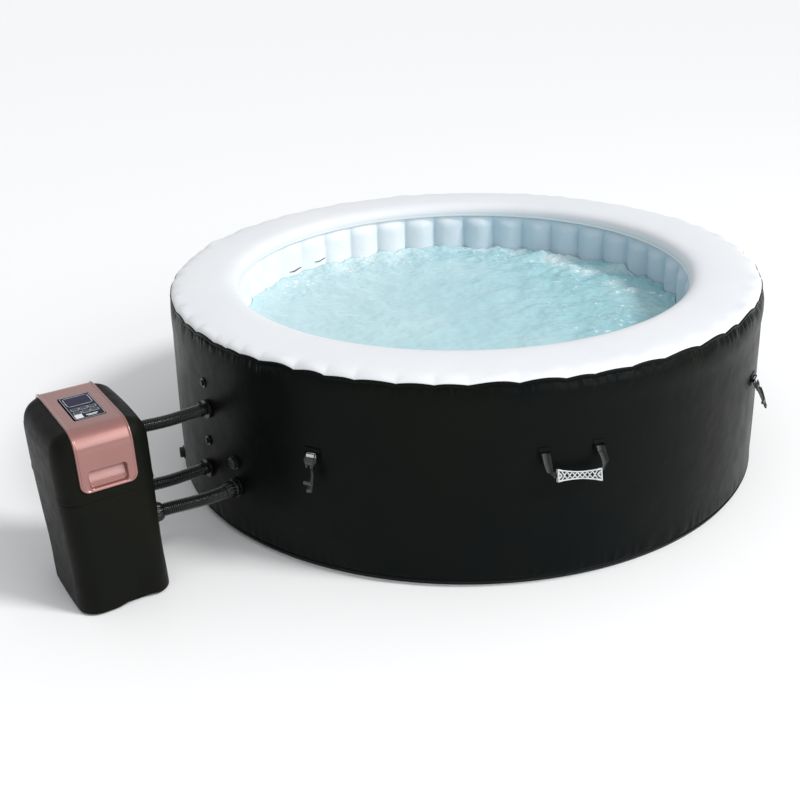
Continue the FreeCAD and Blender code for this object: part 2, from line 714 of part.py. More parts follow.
def band_layer(name, raise_by, x_low, x_width):
    """A strip that follows the casing's front, top and back at this height above it."""
    low = (left + " - 40", "pump_front - " + raise_by, "pump_bottom")
    sizes = ("pump_width + 80", "pump_depth + %s + %s" % (raise_by, raise_by),
             "pump_top - pump_bottom + " + raise_by)
    swollen = doc.addObject("Part::Fillet", name + "_swollen")
    block = box(name + "_block", low, sizes)
    doc.recompute()
    swollen.Base = block
    edges = []
    round_size = size("casing_round + " + raise_by)
    for index, edge in enumerate(block.Shape.Edges, start=1):
        along_x = edge.BoundBox.XLength > 1
        if along_x and edge.BoundBox.ZMin > size("split_height"):
            edges.append((index, round_size, round_size))
    swollen.Edges = edges
    strip = box(name + "_strip", (x_low, "pump_front - 100", "band_bottom"), (x_width, 800, 400))
    layer = common(name + "_layer", swollen, strip)
    behind = box(name + "_behind", (x_low, "pump_front + 100", "band_bottom - 1"),
                 (x_width, 500, "band_back_bottom - band_bottom + 1"))
    return layer, behind


band_left = "pump_x - band_width/2"
band_main, band_behind = band_layer("band", "band_thickness", band_left, "band_width")
lip_left, lip_left_behind = band_layer("band_lip_left", "band_lip", band_left, "band_lip_width")
lip_right, lip_right_behind = band_layer(
    "band_lip_right", "band_lip", "pump_x + band_width/2 - band_lip_width", "band_lip_width")
band_core = common("band_core_strip", casing_outer,
                   box("band_core_box", (left, "pump_front - 50", "band_bottom - 5"),
                       ("pump_width", 600, 400)))
band_raised = cut("band_raised", join("band_raised_solid", [band_main, lip_left, lip_right]),
                  [band_core, band_behind, lip_left_behind, lip_right_behind])
recess_low = "pump_x - recess_width/2"
cup_block = box("cup_block", (recess_low + " - recess_wall", "pump_front - band_thickness",
                              "recess_bottom - recess_wall"),
                ("recess_width + recess_wall + recess_wall", "band_thickness + recess_depth",
                 "recess_height + recess_wall + recess_wall"))
cup_space = box("recess_space", (recess_low, "pump_front - 20", "recess_bottom"),
                ("recess_width", "recess_depth + 20 - recess_wall", "recess_height"))
keep(cut("pump_grip_cup", cup_block, [cup_space]), "pump_grip_cup")
band_cup_hole = box("band_cup_hole", (recess_low + " - recess_wall - cup_gap", "pump_front - 20",
                                      "recess_bottom - recess_wall - cup_gap"),
                    ("recess_width + recess_wall + recess_wall + cup_gap + cup_gap", 40,
                     "recess_height + recess_wall + recess_wall + cup_gap + cup_gap"))
band_panel_hole = box("band_panel_hole", ("panel_x - panel_width/2 - 0.2",
                                          "panel_y - panel_length/2 - 0.2", "pump_top - 10"),
                      ("panel_width + 0.4", "panel_length + 0.4", 40))
keep(cut("pump_band", band_raised, [band_cup_hole, band_panel_hole]), "pump_band")


# ---- control panel ---------------------------------------------------------------------------------

PANEL_THICKNESS = 4.5
panel_block = box("panel_block", ("panel_x - panel_width/2", "panel_y - panel_length/2",
                                  "pump_top"), ("panel_width", "panel_length", PANEL_THICKNESS))
LENS_GAP = 0.2
display_low = ("panel_x - display_width/2", "display_y - display_length/2")
display_hole = box("display_hole", display_low + ("pump_top - 5",),
                   ("display_width", "display_length", 20))
keep(box("display_lens", ("panel_x - display_width/2 + 0.2", "display_y - display_length/2 + 0.2",
                          "pump_top + 2"),
         ("display_width - 0.4", "display_length - 0.4", 3)), "display_lens")

KEYS = (("power", -1, 0), ("heat", 0, 0), ("filter", 1, 0),
        ("bubbles", -1, 1), ("up", 0, 1), ("down", 1, 1))
KEY_TOP = 5.6
KEY_FLANGE = 1.5
key_holes = []
for label, column, rank in KEYS:
    x_middle = size("panel_x") + column * size("key_pitch_x")
    y_middle = size("key_row_y") - rank * size("key_pitch_y")
    key_stem = box("key_stem_" + label, (x_middle - size("key_width") / 2,
                                         y_middle - size("key_length") / 2, "pump_top - 2"),
                   ("key_width", "key_length", KEY_TOP + 2))
    key_base = box("key_base_" + label, (x_middle - size("key_width") / 2 - KEY_FLANGE,
                                         y_middle - size("key_length") / 2 - KEY_FLANGE,
                                         "pump_top - 2"),
                   ("key_width + 3", "key_length + 3", 1.9))
    keep(join("button_" + label, [key_stem, key_base]), "button_" + label)
    key_holes.append(box("key_hole_" + label, (
        x_middle - size("key_width") / 2 - size("key_gap"),
        y_middle - size("key_length") / 2 - size("key_gap"), "pump_top - 5"),
        ("key_width + key_gap + key_gap", "key_length + key_gap + key_gap", 20)))
keep(cut("control_panel", panel_block, [display_hole] + key_holes), "control_panel")

board = box("board_sheet", ("panel_x - 38", "panel_y - 78", "board_height"), (76, 156, 1.6))
SWITCH_HEIGHT = 7
board_pieces = [board, box("display_module", ("panel_x - 30", "display_y - 26", "board_height + 1"),
                           (60, 52, 12.5))]
for label, column, rank in KEYS:
    x_middle = size("panel_x") + column * size("key_pitch_x")
    y_middle = size("key_row_y") - rank * size("key_pitch_y")
    board_pieces.append(box("switch_" + label, (x_middle - 3, y_middle - 3, "board_height + 1"),
                            (6, 6, SWITCH_HEIGHT)))
keep(join("circuit_board", board_pieces), "circuit_board")


# ---- base and feet -----------------------------------------------------------------------------------

BASE_THICKNESS = 4
base_plate = rounded_box("base_sheet", (left + " + casing + 0.3", "pump_front + casing + 0.3",
                                        "pump_bottom"),
                         ("pump_width - casing - casing - 0.6",
                          "pump_depth - casing - casing - 0.6", BASE_THICKNESS),
                         "casing_round - casing - 0.3", 0, 0)
cradles = [base_plate]
for label, x_place in (("front", -1490), ("rear", -1420)):
    cradles.append(box("motor_cradle_" + label, (x_place, "inlet_hose_y - 40", 6), (8, 80, 140)))
for label, x_place in (("front", -1470), ("rear", -1370)):
    cradles.append(box("heater_cradle_" + label, (x_place, "outlet_hose_y - 26", 6), (8, 52, 150)))
motor_room = cylinder("motor_room", "motor_radius + 0.3", 300,
                      (-1560, "inlet_hose_y", "inlet_hose_height"), X_WARD)
heater_room = cylinder("heater_room", "heater_radius + 0.3", 300,
                       (-1560, "outlet_hose_y", "outlet_hose_height"), X_WARD)
FOOT_X = (-1500, -1330)
FOOT_Y = (-305, -30)
feet = []
foot_holes = []
for x_place in FOOT_X:
    for y_place in FOOT_Y:
        tag = "%d_%d" % (-x_place, -y_place)
        feet.append(turned("foot_" + tag, [
            (0, 0), (BASE_THICKNESS + 7, 0), (BASE_THICKNESS + 7, 6), (BASE_THICKNESS + 4.3, 6),
            (BASE_THICKNESS + 4.3, 4.6), (BASE_THICKNESS - 0.2, 4.6), (BASE_THICKNESS - 0.2, 14),
            (0, 13)], (x_place, y_place, 0), X_TO_Z))
        foot_holes.append(cylinder("foot_hole_" + tag, 4.8, 30, (x_place, y_place, -5)))
keep(group("pump_feet", feet), "pump_feet")
keep(cut("pump_base_plate", join("base_solid", cradles), [motor_room, heater_room] + foot_holes),
     "pump_base_plate")


# ---- water pump ------------------------------------------------------------------------------------------

water_y = size("inlet_hose_y")
water_z = size("inlet_hose_height")
volute_right = size("water_pump_x") + size("volute_length") / 2
volute_left = size("water_pump_x") - size("volute_length") / 2
volute_wall = 4
volute_body = turned("volute_body", [
    (volute_left, 0), (volute_right, 0), (volute_right, 18), (volute_right, "volute_radius"),
    (volute_left, "volute_radius")], (0, water_y, water_z))
volute_neck = cylinder("volute_neck", 18, "spigot_inner_x - 0.2 - water_pump_x - volute_length/2",
                       (volute_right, water_y, water_z), X_WARD)
OUTLET_OFFSET = 38
volute_outlet = cylinder("volute_outlet", 15, 75, ("water_pump_x", water_y + OUTLET_OFFSET,
                                                   water_z))
volute_space = cylinder("volute_space", "volute_cavity", "volute_length - 8",
                        (volute_left + volute_wall, water_y, water_z), X_WARD)
volute_inlet = cylinder("volute_inlet", 12.5, 80, ("water_pump_x", water_y, water_z), X_WARD)
outlet_bore = cylinder("outlet_bore", 11, 80, ("water_pump_x", water_y + OUTLET_OFFSET, water_z))
shaft_hole = cylinder("shaft_hole", "shaft_radius + 0.4", 30, (volute_left - 10, water_y, water_z),
                      X_WARD)
keep(cut("water_pump_volute", join("volute_solid", [volute_body, volute_neck, volute_outlet]),
         [volute_space, volute_inlet, outlet_bore, shaft_hole]), "water_pump_volute")

motor_right = volute_left - 0.2
motor_left = motor_right - size("motor_length")
SHAFT_INTO_MOTOR = 60
keep(turned("water_pump_motor", [
    (motor_left, 0), (motor_right - SHAFT_INTO_MOTOR - 2, 0),
    (motor_right - SHAFT_INTO_MOTOR - 2, "shaft_radius + 0.4"), (motor_right, "shaft_radius + 0.4"),
    (motor_right, 40), (motor_right - 6, "motor_radius"), (motor_left + 8, "motor_radius"),
    (motor_left, 36)], (0, water_y, water_z)), "water_pump_motor")


def bladed_wheel(name, hub_outline, blade_count, blade_low, blade_sizes):
    """A turned hub with flat blades patterned about local X."""
    body = turned(name, hub_outline)
    doc.recompute()
    turning = body.Tip
    sketch = outline_sketch(body, name + "_blade_outline", "XY_Plane", [
        (blade_low[0], blade_low[1]), (blade_low[0] + blade_sizes[0], blade_low[1]),
        (blade_low[0] + blade_sizes[0], blade_low[1] + blade_sizes[1]),
        (blade_low[0], blade_low[1] + blade_sizes[1])])
    blade = body.newObject("PartDesign::Pad", name + "_blade")
    blade.Profile = sketch
    blade.Length = blade_sizes[2]
    blade.Midplane = True
    pattern = body.newObject("PartDesign::PolarPattern", name + "_blades")
    pattern.Originals = [blade]
    for feature in body.Origin.OriginFeatures:
        if feature.Role == "X_Axis":
            pattern.Axis = (feature, [""])
    pattern.Angle = FULL_TURN
    pattern.Occurrences = blade_count
    body.Tip = pattern
    doc.recompute()
    assert body.Shape.Volume > turning.Shape.Volume
    return body


wheel_back = volute_left + volute_wall + 3
impeller = bladed_wheel("water_pump_impeller", [
    (motor_right - SHAFT_INTO_MOTOR, 0), (wheel_back + 22, 0), (wheel_back + 20, 8),
    (wheel_back + 3, 12), (wheel_back + 3, "impeller_radius"), (wheel_back, "impeller_radius"),
    (wheel_back, "shaft_radius"), (motor_right - SHAFT_INTO_MOTOR, "shaft_radius")],
    6, (wheel_back + 2, 9), (20, 33, 3))
place(impeller, (0, water_y, water_z))
keep(impeller, "water_pump_impeller")


# ---- heater and the tube that feeds it ------------------------------------------------------------------------

heater_right = size("spigot_inner_x") - 15
heater_left = heater_right - size("heater_length")
heater_y = size("outlet_hose_y")
heater_z = size("outlet_hose_height")
heater_can = turned("heater_can", [
    (heater_left, 0), (heater_right, 0), (heater_right, "heater_radius"),
    (heater_left, "heater_radius")], (0, heater_y, heater_z))
heater_neck = cylinder("heater_neck", 16, 14.8, (heater_right, heater_y, heater_z), X_WARD)
HEATER_PORT_X = -1480
HEATER_PORT_TOP = 225
heater_port = cylinder("heater_port", 14, HEATER_PORT_TOP - heater_z,
                       (HEATER_PORT_X, heater_y, heater_z))
heater_space = cylinder("heater_space", "heater_radius - heater_wall", "heater_length - 4",
                        (heater_left + 2, heater_y, heater_z), X_WARD)
heater_exit = cylinder("heater_exit", 12.5, 60, (heater_right - 20, heater_y, heater_z), X_WARD)
port_bore = cylinder("port_bore", 11, 60, (HEATER_PORT_X, heater_y, heater_z))
heater_shell = cut("heater_shell", join("heater_solid", [heater_can, heater_neck, heater_port]),
                   [heater_space, heater_exit, port_bore])
elements = []
for label, y_shift in (("near", -12), ("far", 12)):
    elements.append(cylinder("heating_element_" + label, 4, "heater_length - 30",
                             (heater_left + 2, heater_y + y_shift, heater_z - 8), X_WARD))
keep(group("heater_tube", [heater_shell] + elements), "heater_tube")


def routed_wire(points):
    """Straight runs joined by tangent arcs; returns the wire and the arc radii."""
    spots = [Vector(*point) for point in points]
    edges = []
    radii = []
    here = spots[0]
    for index in range(1, len(spots) - 1):
        before = spots[index] - spots[index - 1]
        after = spots[index + 1] - spots[index]
        half_turn = before.getAngle(after) / 2
        reach = 0.45 * min(before.Length, after.Length)
        radii.append(reach / math.tan(half_turn))
        before.normalize()
        after.normalize()
        start = spots[index] - before * reach
        end = spots[index] + after * reach
        inner = after - before
        inner.normalize()
        centre_distance = radii[-1] / math.cos(half_turn)
        centre = spots[index] + inner * centre_distance
        middle = centre - inner * radii[-1]
        edges.append(line(here, start))
        edges.append(arc(start, middle, end))
        here = end
    edges.append(line(here, spots[-1]))
    return Part.Wire(edges), radii


def swept_rod(wire, radius):
    start = wire.Edges[0]
    tangent = start.tangentAt(start.FirstParameter)
    profile = Part.Wire(Part.makeCircle(radius, start.valueAt(start.FirstParameter), tangent))
    return wire.makePipeShell([profile], True, False)


def routed_tube(name, points, radius, bore):
    wire, radii = routed_wire(points)
    shape = swept_rod(wire, radius).cut(swept_rod(wire, bore))
    expected = math.pi * (radius ** 2 - bore ** 2) * wire.Length
    print("%s: length %.1f, radii %s, volume %.0f against %.0f" % (
        name, wire.Length, ["%.0f" % value for value in radii], shape.Volume, expected))
    return coded(name, shape.Solids[0])


outlet_y = water_y + OUTLET_OFFSET
outlet_x = size("water_pump_x")
outlet_top = water_z + 75
keep(routed_tube("pump_to_heater_tube", [
    (outlet_x, outlet_y, outlet_top + 0.2), (outlet_x, outlet_y, outlet_top + 40),
    (outlet_x - 40, outlet_y + 40, outlet_top + 68),
    (HEATER_PORT_X + 40, heater_y - 40, outlet_top + 60),
    (HEATER_PORT_X, heater_y, HEATER_PORT_TOP + 70),
    (HEATER_PORT_X, heater_y, HEATER_PORT_TOP + 0.2)], 13, 10.5), "pump_to_heater_tube")


# ---- air blower ---------------------------------------------------------------------------------------------------

air_z = size("air_hose_height")
drum_low = air_z - size("blower_length") / 2
drum_top = air_z + size("blower_length") / 2
blower_drum = cylinder("blower_drum", "blower_radius", "blower_length",
                       ("blower_x", "blower_y", drum_low))
blower_outlet = cylinder("blower_outlet", 17, "spigot_inner_x - 0.2 - blower_x",
                         ("blower_x", "air_hose_y", air_z), X_WARD)
blower_shelf = box("blower_shelf", (left + " + casing + 0.3", "blower_y - 30", drum_low),
                   ("pump_width - casing - casing - 0.6", 60, 3))
blower_space = cylinder("blower_space", "blower_radius - 3", "blower_length - 6",
                        ("blower_x", "blower_y", drum_low + 3))
blower_exit = cylinder("blower_exit", 14, 200, ("blower_x", "air_hose_y", air_z), X_WARD)
blower_intake = cylinder("blower_intake", 26, 20, ("blower_x", "blower_y", drum_low - 10))
blower_shaft_hole = cylinder("blower_shaft_hole", "shaft_radius + 0.4", 20,
                             ("blower_x", "blower_y", drum_top - 10))
keep(cut("blower_housing", join("blower_solid", [blower_drum, blower_outlet, blower_shelf]),
         [blower_space, blower_exit, blower_intake, blower_shaft_hole]), "blower_housing")

FAN_SHAFT = 40
fan_back = drum_top - 6
motor_base = drum_top + 0.2
fan = bladed_wheel("blower_fan", [
    (fan_back - 40, 0), (motor_base + FAN_SHAFT, 0), (motor_base + FAN_SHAFT, "shaft_radius"),
    (fan_back, "shaft_radius"), (fan_back, 40), (fan_back - 2, 40), (fan_back - 4, 10),
    (fan_back - 40, 8)], 12, (fan_back - 36, 9), (35, 36, 1.6))
place(fan, ("blower_x", "blower_y", 0), X_TO_Z)
keep(fan, "blower_fan")
keep(turned("blower_motor", [
    (motor_base, "shaft_radius + 0.4"), (motor_base + FAN_SHAFT + 2, "shaft_radius + 0.4"),
    (motor_base + FAN_SHAFT + 2, 0), (motor_base + size("blower_motor_length"), 0),
    (motor_base + size("blower_motor_length"), 28),
    (motor_base + size("blower_motor_length") - 6, "blower_motor_radius"),
    (motor_base, "blower_motor_radius")], ("blower_x", "blower_y", 0), X_TO_Z), "blower_motor")


# ---- spigots, hoses, nuts and clamps ------------------------------------------------------------------------------------

casing_right = size("pump_x") + size("pump_width") / 2
SPIGOT_FLANGE = 5
spigots = []
for hose, (y_spec, height) in HOSES.items():
    spigots.append(turned("pump_spigot_" + hose, [
        ("spigot_inner_x", "pipe_bore"), ("spigot_end_x", "pipe_bore"),
        ("spigot_end_x", "barb_radius"), (casing_right + SPIGOT_FLANGE, "barb_radius"),
        (casing_right + SPIGOT_FLANGE, 25), (casing_right + 0.2, 25),
        (casing_right + 0.2, "pipe_radius"), ("spigot_inner_x", "pipe_radius")],
        (0, y_spec, height)))
keep(group("pump_spigots", spigots), "pump_spigots")

hose_start = casing_right + SPIGOT_FLANGE + 0.2


def wall_point(hose, beyond):
    """A point on the line of a wall fitting, this far outside its flange."""
    angle, face = hose_ends[hose]
    height = size(HOSES[hose][1])
    spot = around(angle).multVec(Vector(face + beyond, 0, height))
    return (spot.x, spot.y, spot.z)


air_y = size("air_hose_y")
outlet_hose_y = size("outlet_hose_y")
HOSE_ROUTES = {
    "air": [(hose_start, air_y, air_z), (-1225, air_y, air_z), (-1150, air_y - 1, air_z - 5),
            wall_point("air", 62), wall_point("air", 0.2)],
    "outlet": [(hose_start, outlet_hose_y, heater_z), (-1225, outlet_hose_y, heater_z),
               (-1150, outlet_hose_y - 1, heater_z - 5), wall_point("outlet", 62),
               wall_point("outlet", 0.2)],
    "inlet": [(hose_start, water_y, water_z), (-1222, water_y, water_z),
              (-1145, water_y - 7, water_z - 3), wall_point("inlet", 62),
              wall_point("inlet", 0.2)],
}
for hose, route in HOSE_ROUTES.items():
    print("route of hose_%s: %s" % (hose, [[round(value, 1) for value in spot] for spot in route]))
    keep(routed_tube("hose_" + hose, route, size("hose_radius"), size("hose_bore")),
         "hose_" + hose)


def union_nut(name):
    """A ribbed nut, bored to turn freely round the hose, from 0 along local +X."""
    body = turned(name, [
        (0, "nut_bore"), ("nut_length", "nut_bore"), ("nut_length", "nut_radius - 3"),
        ("nut_length - 4", "nut_radius - 1"), (0, "nut_radius - 1")])
    doc.recompute()
    sketch = outline_sketch(body, name + "_rib_outline", "XY_Plane", [
        (1, 23), ("nut_length - 5", 23), ("nut_length - 5", "nut_radius"), (1, "nut_radius")])
    rib = body.newObject("PartDesign::Pad", name + "_rib")
    rib.Profile = sketch
    rib.Length = 4
    rib.Midplane = True
    pattern = body.newObject("PartDesign::PolarPattern", name + "_ribs")
    pattern.Originals = [rib]
    for feature in body.Origin.OriginFeatures:
        if feature.Role == "X_Axis":
            pattern.Axis = (feature, [""])
    pattern.Angle = FULL_TURN
    pattern.Occurrences = 12
    body.Tip = pattern
    return body


inlet_face = hose_ends["inlet"][1]
pump_nut = union_nut("inlet_nut_pump")
place(pump_nut, (hose_start + 0.3, water_y, water_z))
keep(pump_nut, "inlet_nut_pump")
tub_nut = union_nut("inlet_nut_tub")
tub_nut.Placement = Placement(around(inlet_angle).multVec(Vector(inlet_face + 0.5, 0, water_z)),
                              around(inlet_angle))
keep(tub_nut, "inlet_nut_tub")


def worm_clamp(name):
    """A clamp band round the hose with its screw housing on top, from 0 along local +X."""
    band = turned(name + "_band", ring_outline(0, 12, "hose_radius + 0.4", "hose_radius + 1.6"))
    housing = box(name + "_housing", (1, -8, "hose_radius + 1"), (10, 16, 7))
    screw = cylinder(name + "_screw", 3, 26, (6, -13, "hose_radius + 5"), Y_WARD)
    return join(name, [band, housing, screw])


clamps = []
for hose in ("air", "outlet"):
    y_spec, height = HOSES[hose]
    clamp = worm_clamp("clamp_pump_" + hose)
    place(clamp, (hose_start + 8, y_spec, height))
    clamps.append(clamp)
    angle, face = hose_ends[hose]
    clamp = worm_clamp("clamp_tub_" + hose)
    clamp.Placement = Placement(around(angle).multVec(Vector(face + 8, 0, size(height))),
                                around(angle))
    clamps.append(clamp)
keep(group("hose_clamps", clamps), "hose_clamps")

# cable gland low on the back of the casing
keep(turned("power_gland", [
    (-14, 5), (16, 5), (16, 8), (8, 12), (0.2, 12), (0.2, 9), (-3.2, 9), (-3.2, 12), (-14, 12)],
    (-1480, "pump_front + pump_depth", 60), X_TO_Y), "power_gland")


# ---- check and write ------------------------------------------------------------------------------------------------------

doc.recompute()
faults = []
for obj in doc.Objects:
    if "Invalid" in obj.State or "Error" in obj.State:
        faults.append("%s %s" % (obj.Name, obj.State))
for obj in nodes:
    if obj.Shape.isNull() or not obj.Shape.isValid() or not obj.Shape.Solids:
        faults.append("%s has a bad shape" % obj.Label)
if faults:
    raise RuntimeError("\n".join(faults))
for obj in nodes:
    obj.Shape.exportStep("parts/%s.step" % obj.Label)
    box_of_node = obj.Shape.BoundBox
    print("%-24s solids %2d volume %10.0f  x %.1f %.1f  y %.1f %.1f  z %.1f %.1f" % (
        obj.Label, len(obj.Shape.Solids), obj.Shape.Volume, box_of_node.XMin, box_of_node.XMax,
        box_of_node.YMin, box_of_node.YMax, box_of_node.ZMin, box_of_node.ZMax))
print("%d sub-parts" % len(nodes))
for height in (180, 263, 283, 385, 395, 418, 476):
    print("wall radius at %d: %.2f" % (height, wall_radius(height)))
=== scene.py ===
import math
import random

import bmesh
import bpy
import numpy as np
from mathutils import Matrix, Vector, noise


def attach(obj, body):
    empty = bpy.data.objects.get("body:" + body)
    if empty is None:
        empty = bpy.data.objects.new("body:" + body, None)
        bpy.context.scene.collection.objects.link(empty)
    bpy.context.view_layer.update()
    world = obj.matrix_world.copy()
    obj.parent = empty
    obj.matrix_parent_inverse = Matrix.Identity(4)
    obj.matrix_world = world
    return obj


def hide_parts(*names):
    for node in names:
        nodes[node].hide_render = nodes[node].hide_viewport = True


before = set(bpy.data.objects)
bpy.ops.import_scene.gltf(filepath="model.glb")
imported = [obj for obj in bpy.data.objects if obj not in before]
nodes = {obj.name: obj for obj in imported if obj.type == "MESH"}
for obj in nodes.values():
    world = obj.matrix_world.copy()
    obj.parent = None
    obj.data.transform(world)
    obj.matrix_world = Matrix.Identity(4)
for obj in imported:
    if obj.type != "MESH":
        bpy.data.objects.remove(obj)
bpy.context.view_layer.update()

scene = bpy.context.scene
scene.view_settings.view_transform = "Standard"
TAU = math.tau


def linked(name, data):
    """A new object in the scene that holds this data."""
    holder = bpy.data.objects.new(name, data)
    scene.collection.objects.link(holder)
    return holder


# ---- camera ----

CAMERA_SENSOR = 36
CAMERA_LENS = 47.71
CAMERA_RIGHT = Vector((0.84429, -0.53488, -0.03195))
CAMERA_UP = Vector((0.25065, 0.34156, 0.90582))
CAMERA_FORWARD = Vector((0.47358, 0.77279, -0.42247))
CAMERA_PLACE = (-2.0542, -2.9102, 1.7832)


def add_camera():
    """The photo's camera, worked out from how the tub's round seams appear in it."""
    data = bpy.data.cameras.new("camera")
    data.sensor_width = CAMERA_SENSOR
    data.lens = CAMERA_LENS
    place = Matrix((CAMERA_RIGHT, CAMERA_UP, -CAMERA_FORWARD)).transposed().to_4x4()
    place.translation = CAMERA_PLACE
    scene.camera = linked("camera", data)
    scene.camera.matrix_world = place


add_camera()


# ---- mesh helpers ----

def ramp(low, high, value):
    """0 below low, 1 above high, smooth between."""
    t = np.clip((np.asarray(value, float) - low) / (high - low), 0, 1)
    return t * t * (3 - 2 * t)


def signed_volume(points, quads):
    """Six times the volume inside the quads, negative when they face inwards."""
    a, b, c, d = (points[quads[:, k]] for k in range(4))
    return float(np.sum(np.cross(a, b) * c) + np.sum(np.cross(a, c) * d))


def mesh_piece(name, points, quads, flat=False):
    """A mesh object of quads; a repeated corner makes a triangle. Faces are turned outwards."""
    points = np.asarray(points, float).reshape(-1, 3)
    quads = np.asarray(quads, int).reshape(-1, 4)
    if signed_volume(points, quads) < 0:
        quads = quads[:, ::-1]
    faces = [tuple(dict.fromkeys(q)) for q in quads.tolist()]
    mesh = bpy.data.meshes.new(name)
    mesh.from_pydata(points.tolist(), [], [f for f in faces if len(f) > 2])
    mesh.update()
    if not flat:
        mesh.shade_smooth()
    return linked(name, mesh)


def grid_quads(rows, columns, closed_rows, closed_columns, start=0):
    """The quads of a grid whose point (row, column) is start + row * columns + column."""
    r = np.arange(rows if closed_rows else rows - 1)[:, None]
    c = np.arange(columns if closed_columns else columns - 1)[None, :]
    r2, c2 = (r + 1) % rows, (c + 1) % columns
    quads = np.stack([r * columns + c, r * columns + c2, r2 * columns + c2, r2 * columns + c], -1)
    return quads.reshape(-1, 4) + start
def capped_quads(rows, sides):
    """The quads of a closed tube, whose rows of points are followed by its two end centres."""
    first, last, end = rows * sides, rows * sides + 1, (rows - 1) * sides
    caps = []
    for k in range(sides):
        after = (k + 1) % sides
        caps += [[after, k, first, first], [end + k, end + after, last, last]]
    return np.concatenate([grid_quads(rows, sides, False, True), np.array(caps)])


def thick_sheet(name, outer, inner, kept):
    """A closed shell: two matching point grids, the cells to keep, and the walls round them."""
    rows, columns = outer.shape[:2]
    shift = rows * columns
    cells = grid_quads(rows, columns, False, True).reshape(-1, columns, 4)
    quads = [cells[kept], cells[kept][:, ::-1] + shift]
    none = np.zeros((1, columns), bool)
    above, below = np.vstack([kept[1:], none]), np.vstack([none, kept[:-1]])
    after, before = np.roll(kept, -1, 1), np.roll(kept, 1, 1)
    for other, (first, second) in ((below, (0, 1)), (after, (1, 2)), (above, (2, 3)),
                                   (before, (3, 0))):
        edge = cells[kept & ~other]
        a, b = edge[:, first], edge[:, second]
        quads.append(np.stack([b, a, a + shift, b + shift], 1))
    points = np.concatenate([outer.reshape(-1, 3), inner.reshape(-1, 3)])
    quads = np.concatenate(quads)
    used = np.unique(quads)
    renumber = np.zeros(len(points), int)
    renumber[used] = np.arange(len(used))
    return mesh_piece(name, points[used], renumber[quads])


def ring_piece(name, radii, heights, angles):
    """A closed ring: radii and heights hold a row for each point of its closed section."""
    radii, heights = np.array(radii), np.array(heights)
    points = np.stack([radii * np.cos(angles), radii * np.sin(angles), heights], -1)
    return mesh_piece(name, points, grid_quads(len(radii), len(angles), True, True))


def add_plain_rows(radii, heights, angles, section):
    """Add the rows of a section that is the same all the way round."""
    for r, z in section:
        radii.append(np.full_like(angles, r))
        heights.append(np.full_like(angles, z))


def store_values(piece, name, values):
    """Keep a number for each point of a piece, for its material to read."""
    layer = piece.data.attributes.new(name, "FLOAT", "POINT")
    layer.data.foreach_set("value", values)


def ring_noise(angles, wavelength, seed, height=0.0, radius=1.0):
    """Noise round a circle, one value for each angle."""
    k = radius / wavelength
    return np.array([noise.noise(Vector((k * math.cos(a), k * math.sin(a), seed + height)))
                     for a in angles])


# ---- materials ----

def new_material(name):
    """A new material, its node tree and its shader."""
    material = bpy.data.materials.new(name)
    material.use_nodes = True
    tree = material.node_tree
    return material, tree, tree.nodes["Principled BSDF"]


def set_inputs(node, values):
    """Set a shader node's inputs by name."""
    for name, value in values.items():
        node.inputs[name].default_value = value


def noise_node(tree, scale, detail=3.0, stretch=None):
    """Noise in the object's own coordinates, scaled by stretch along each axis."""
    source = tree.nodes.new("ShaderNodeTexCoord").outputs["Object"]
    texture = tree.nodes.new("ShaderNodeTexNoise")
    set_inputs(texture, {"Scale": scale, "Detail": detail})
    if stretch:
        mapping = tree.nodes.new("ShaderNodeMapping")
        set_inputs(mapping, {"Scale": stretch})
        tree.links.new(source, mapping.inputs["Vector"])
        source = mapping.outputs["Vector"]
    tree.links.new(source, texture.inputs["Vector"])
    return texture.outputs["Fac"]


def span(tree, source, low, high, from_low=0.3, from_high=0.7):
    """The source, spread from its own span to the one from low to high."""
    node = tree.nodes.new("ShaderNodeMapRange")
    set_inputs(node, {"From Min": from_low, "From Max": from_high, "To Min": low, "To Max": high})
    tree.links.new(source, node.inputs["Value"])
    return node.outputs["Result"]


def mixed(tree, factor, first, second):
    """A colour between two, each given as numbers or as another node's output."""
    node = tree.nodes.new("ShaderNodeMix")
    node.data_type = "RGBA"
    tree.links.new(factor, node.inputs["Factor"])
    for socket, colour in ((node.inputs[6], first), (node.inputs[7], second)):
        if isinstance(colour, tuple):
            socket.default_value = (*colour, 1)
        else:
            tree.links.new(colour, socket)
    return node.outputs[2]


def bump(tree, source, distance, strength=1.0, under=None):
    """A bump of this depth in metres, on top of another one where under is given."""
    node = tree.nodes.new("ShaderNodeBump")
    set_inputs(node, {"Distance": distance, "Strength": strength})
    tree.links.new(source, node.inputs["Height"])
    if under is not None:
        tree.links.new(under, node.inputs["Normal"])
    return node.outputs["Normal"]


def drifting_colour(tree, shader, scale, detail, colour, other):
    """A base colour that drifts between two shades, in patches of this scale."""
    drift = span(tree, noise_node(tree, scale, detail), 0, 1)
    tree.links.new(mixed(tree, drift, colour, other), shader.inputs["Base Color"])


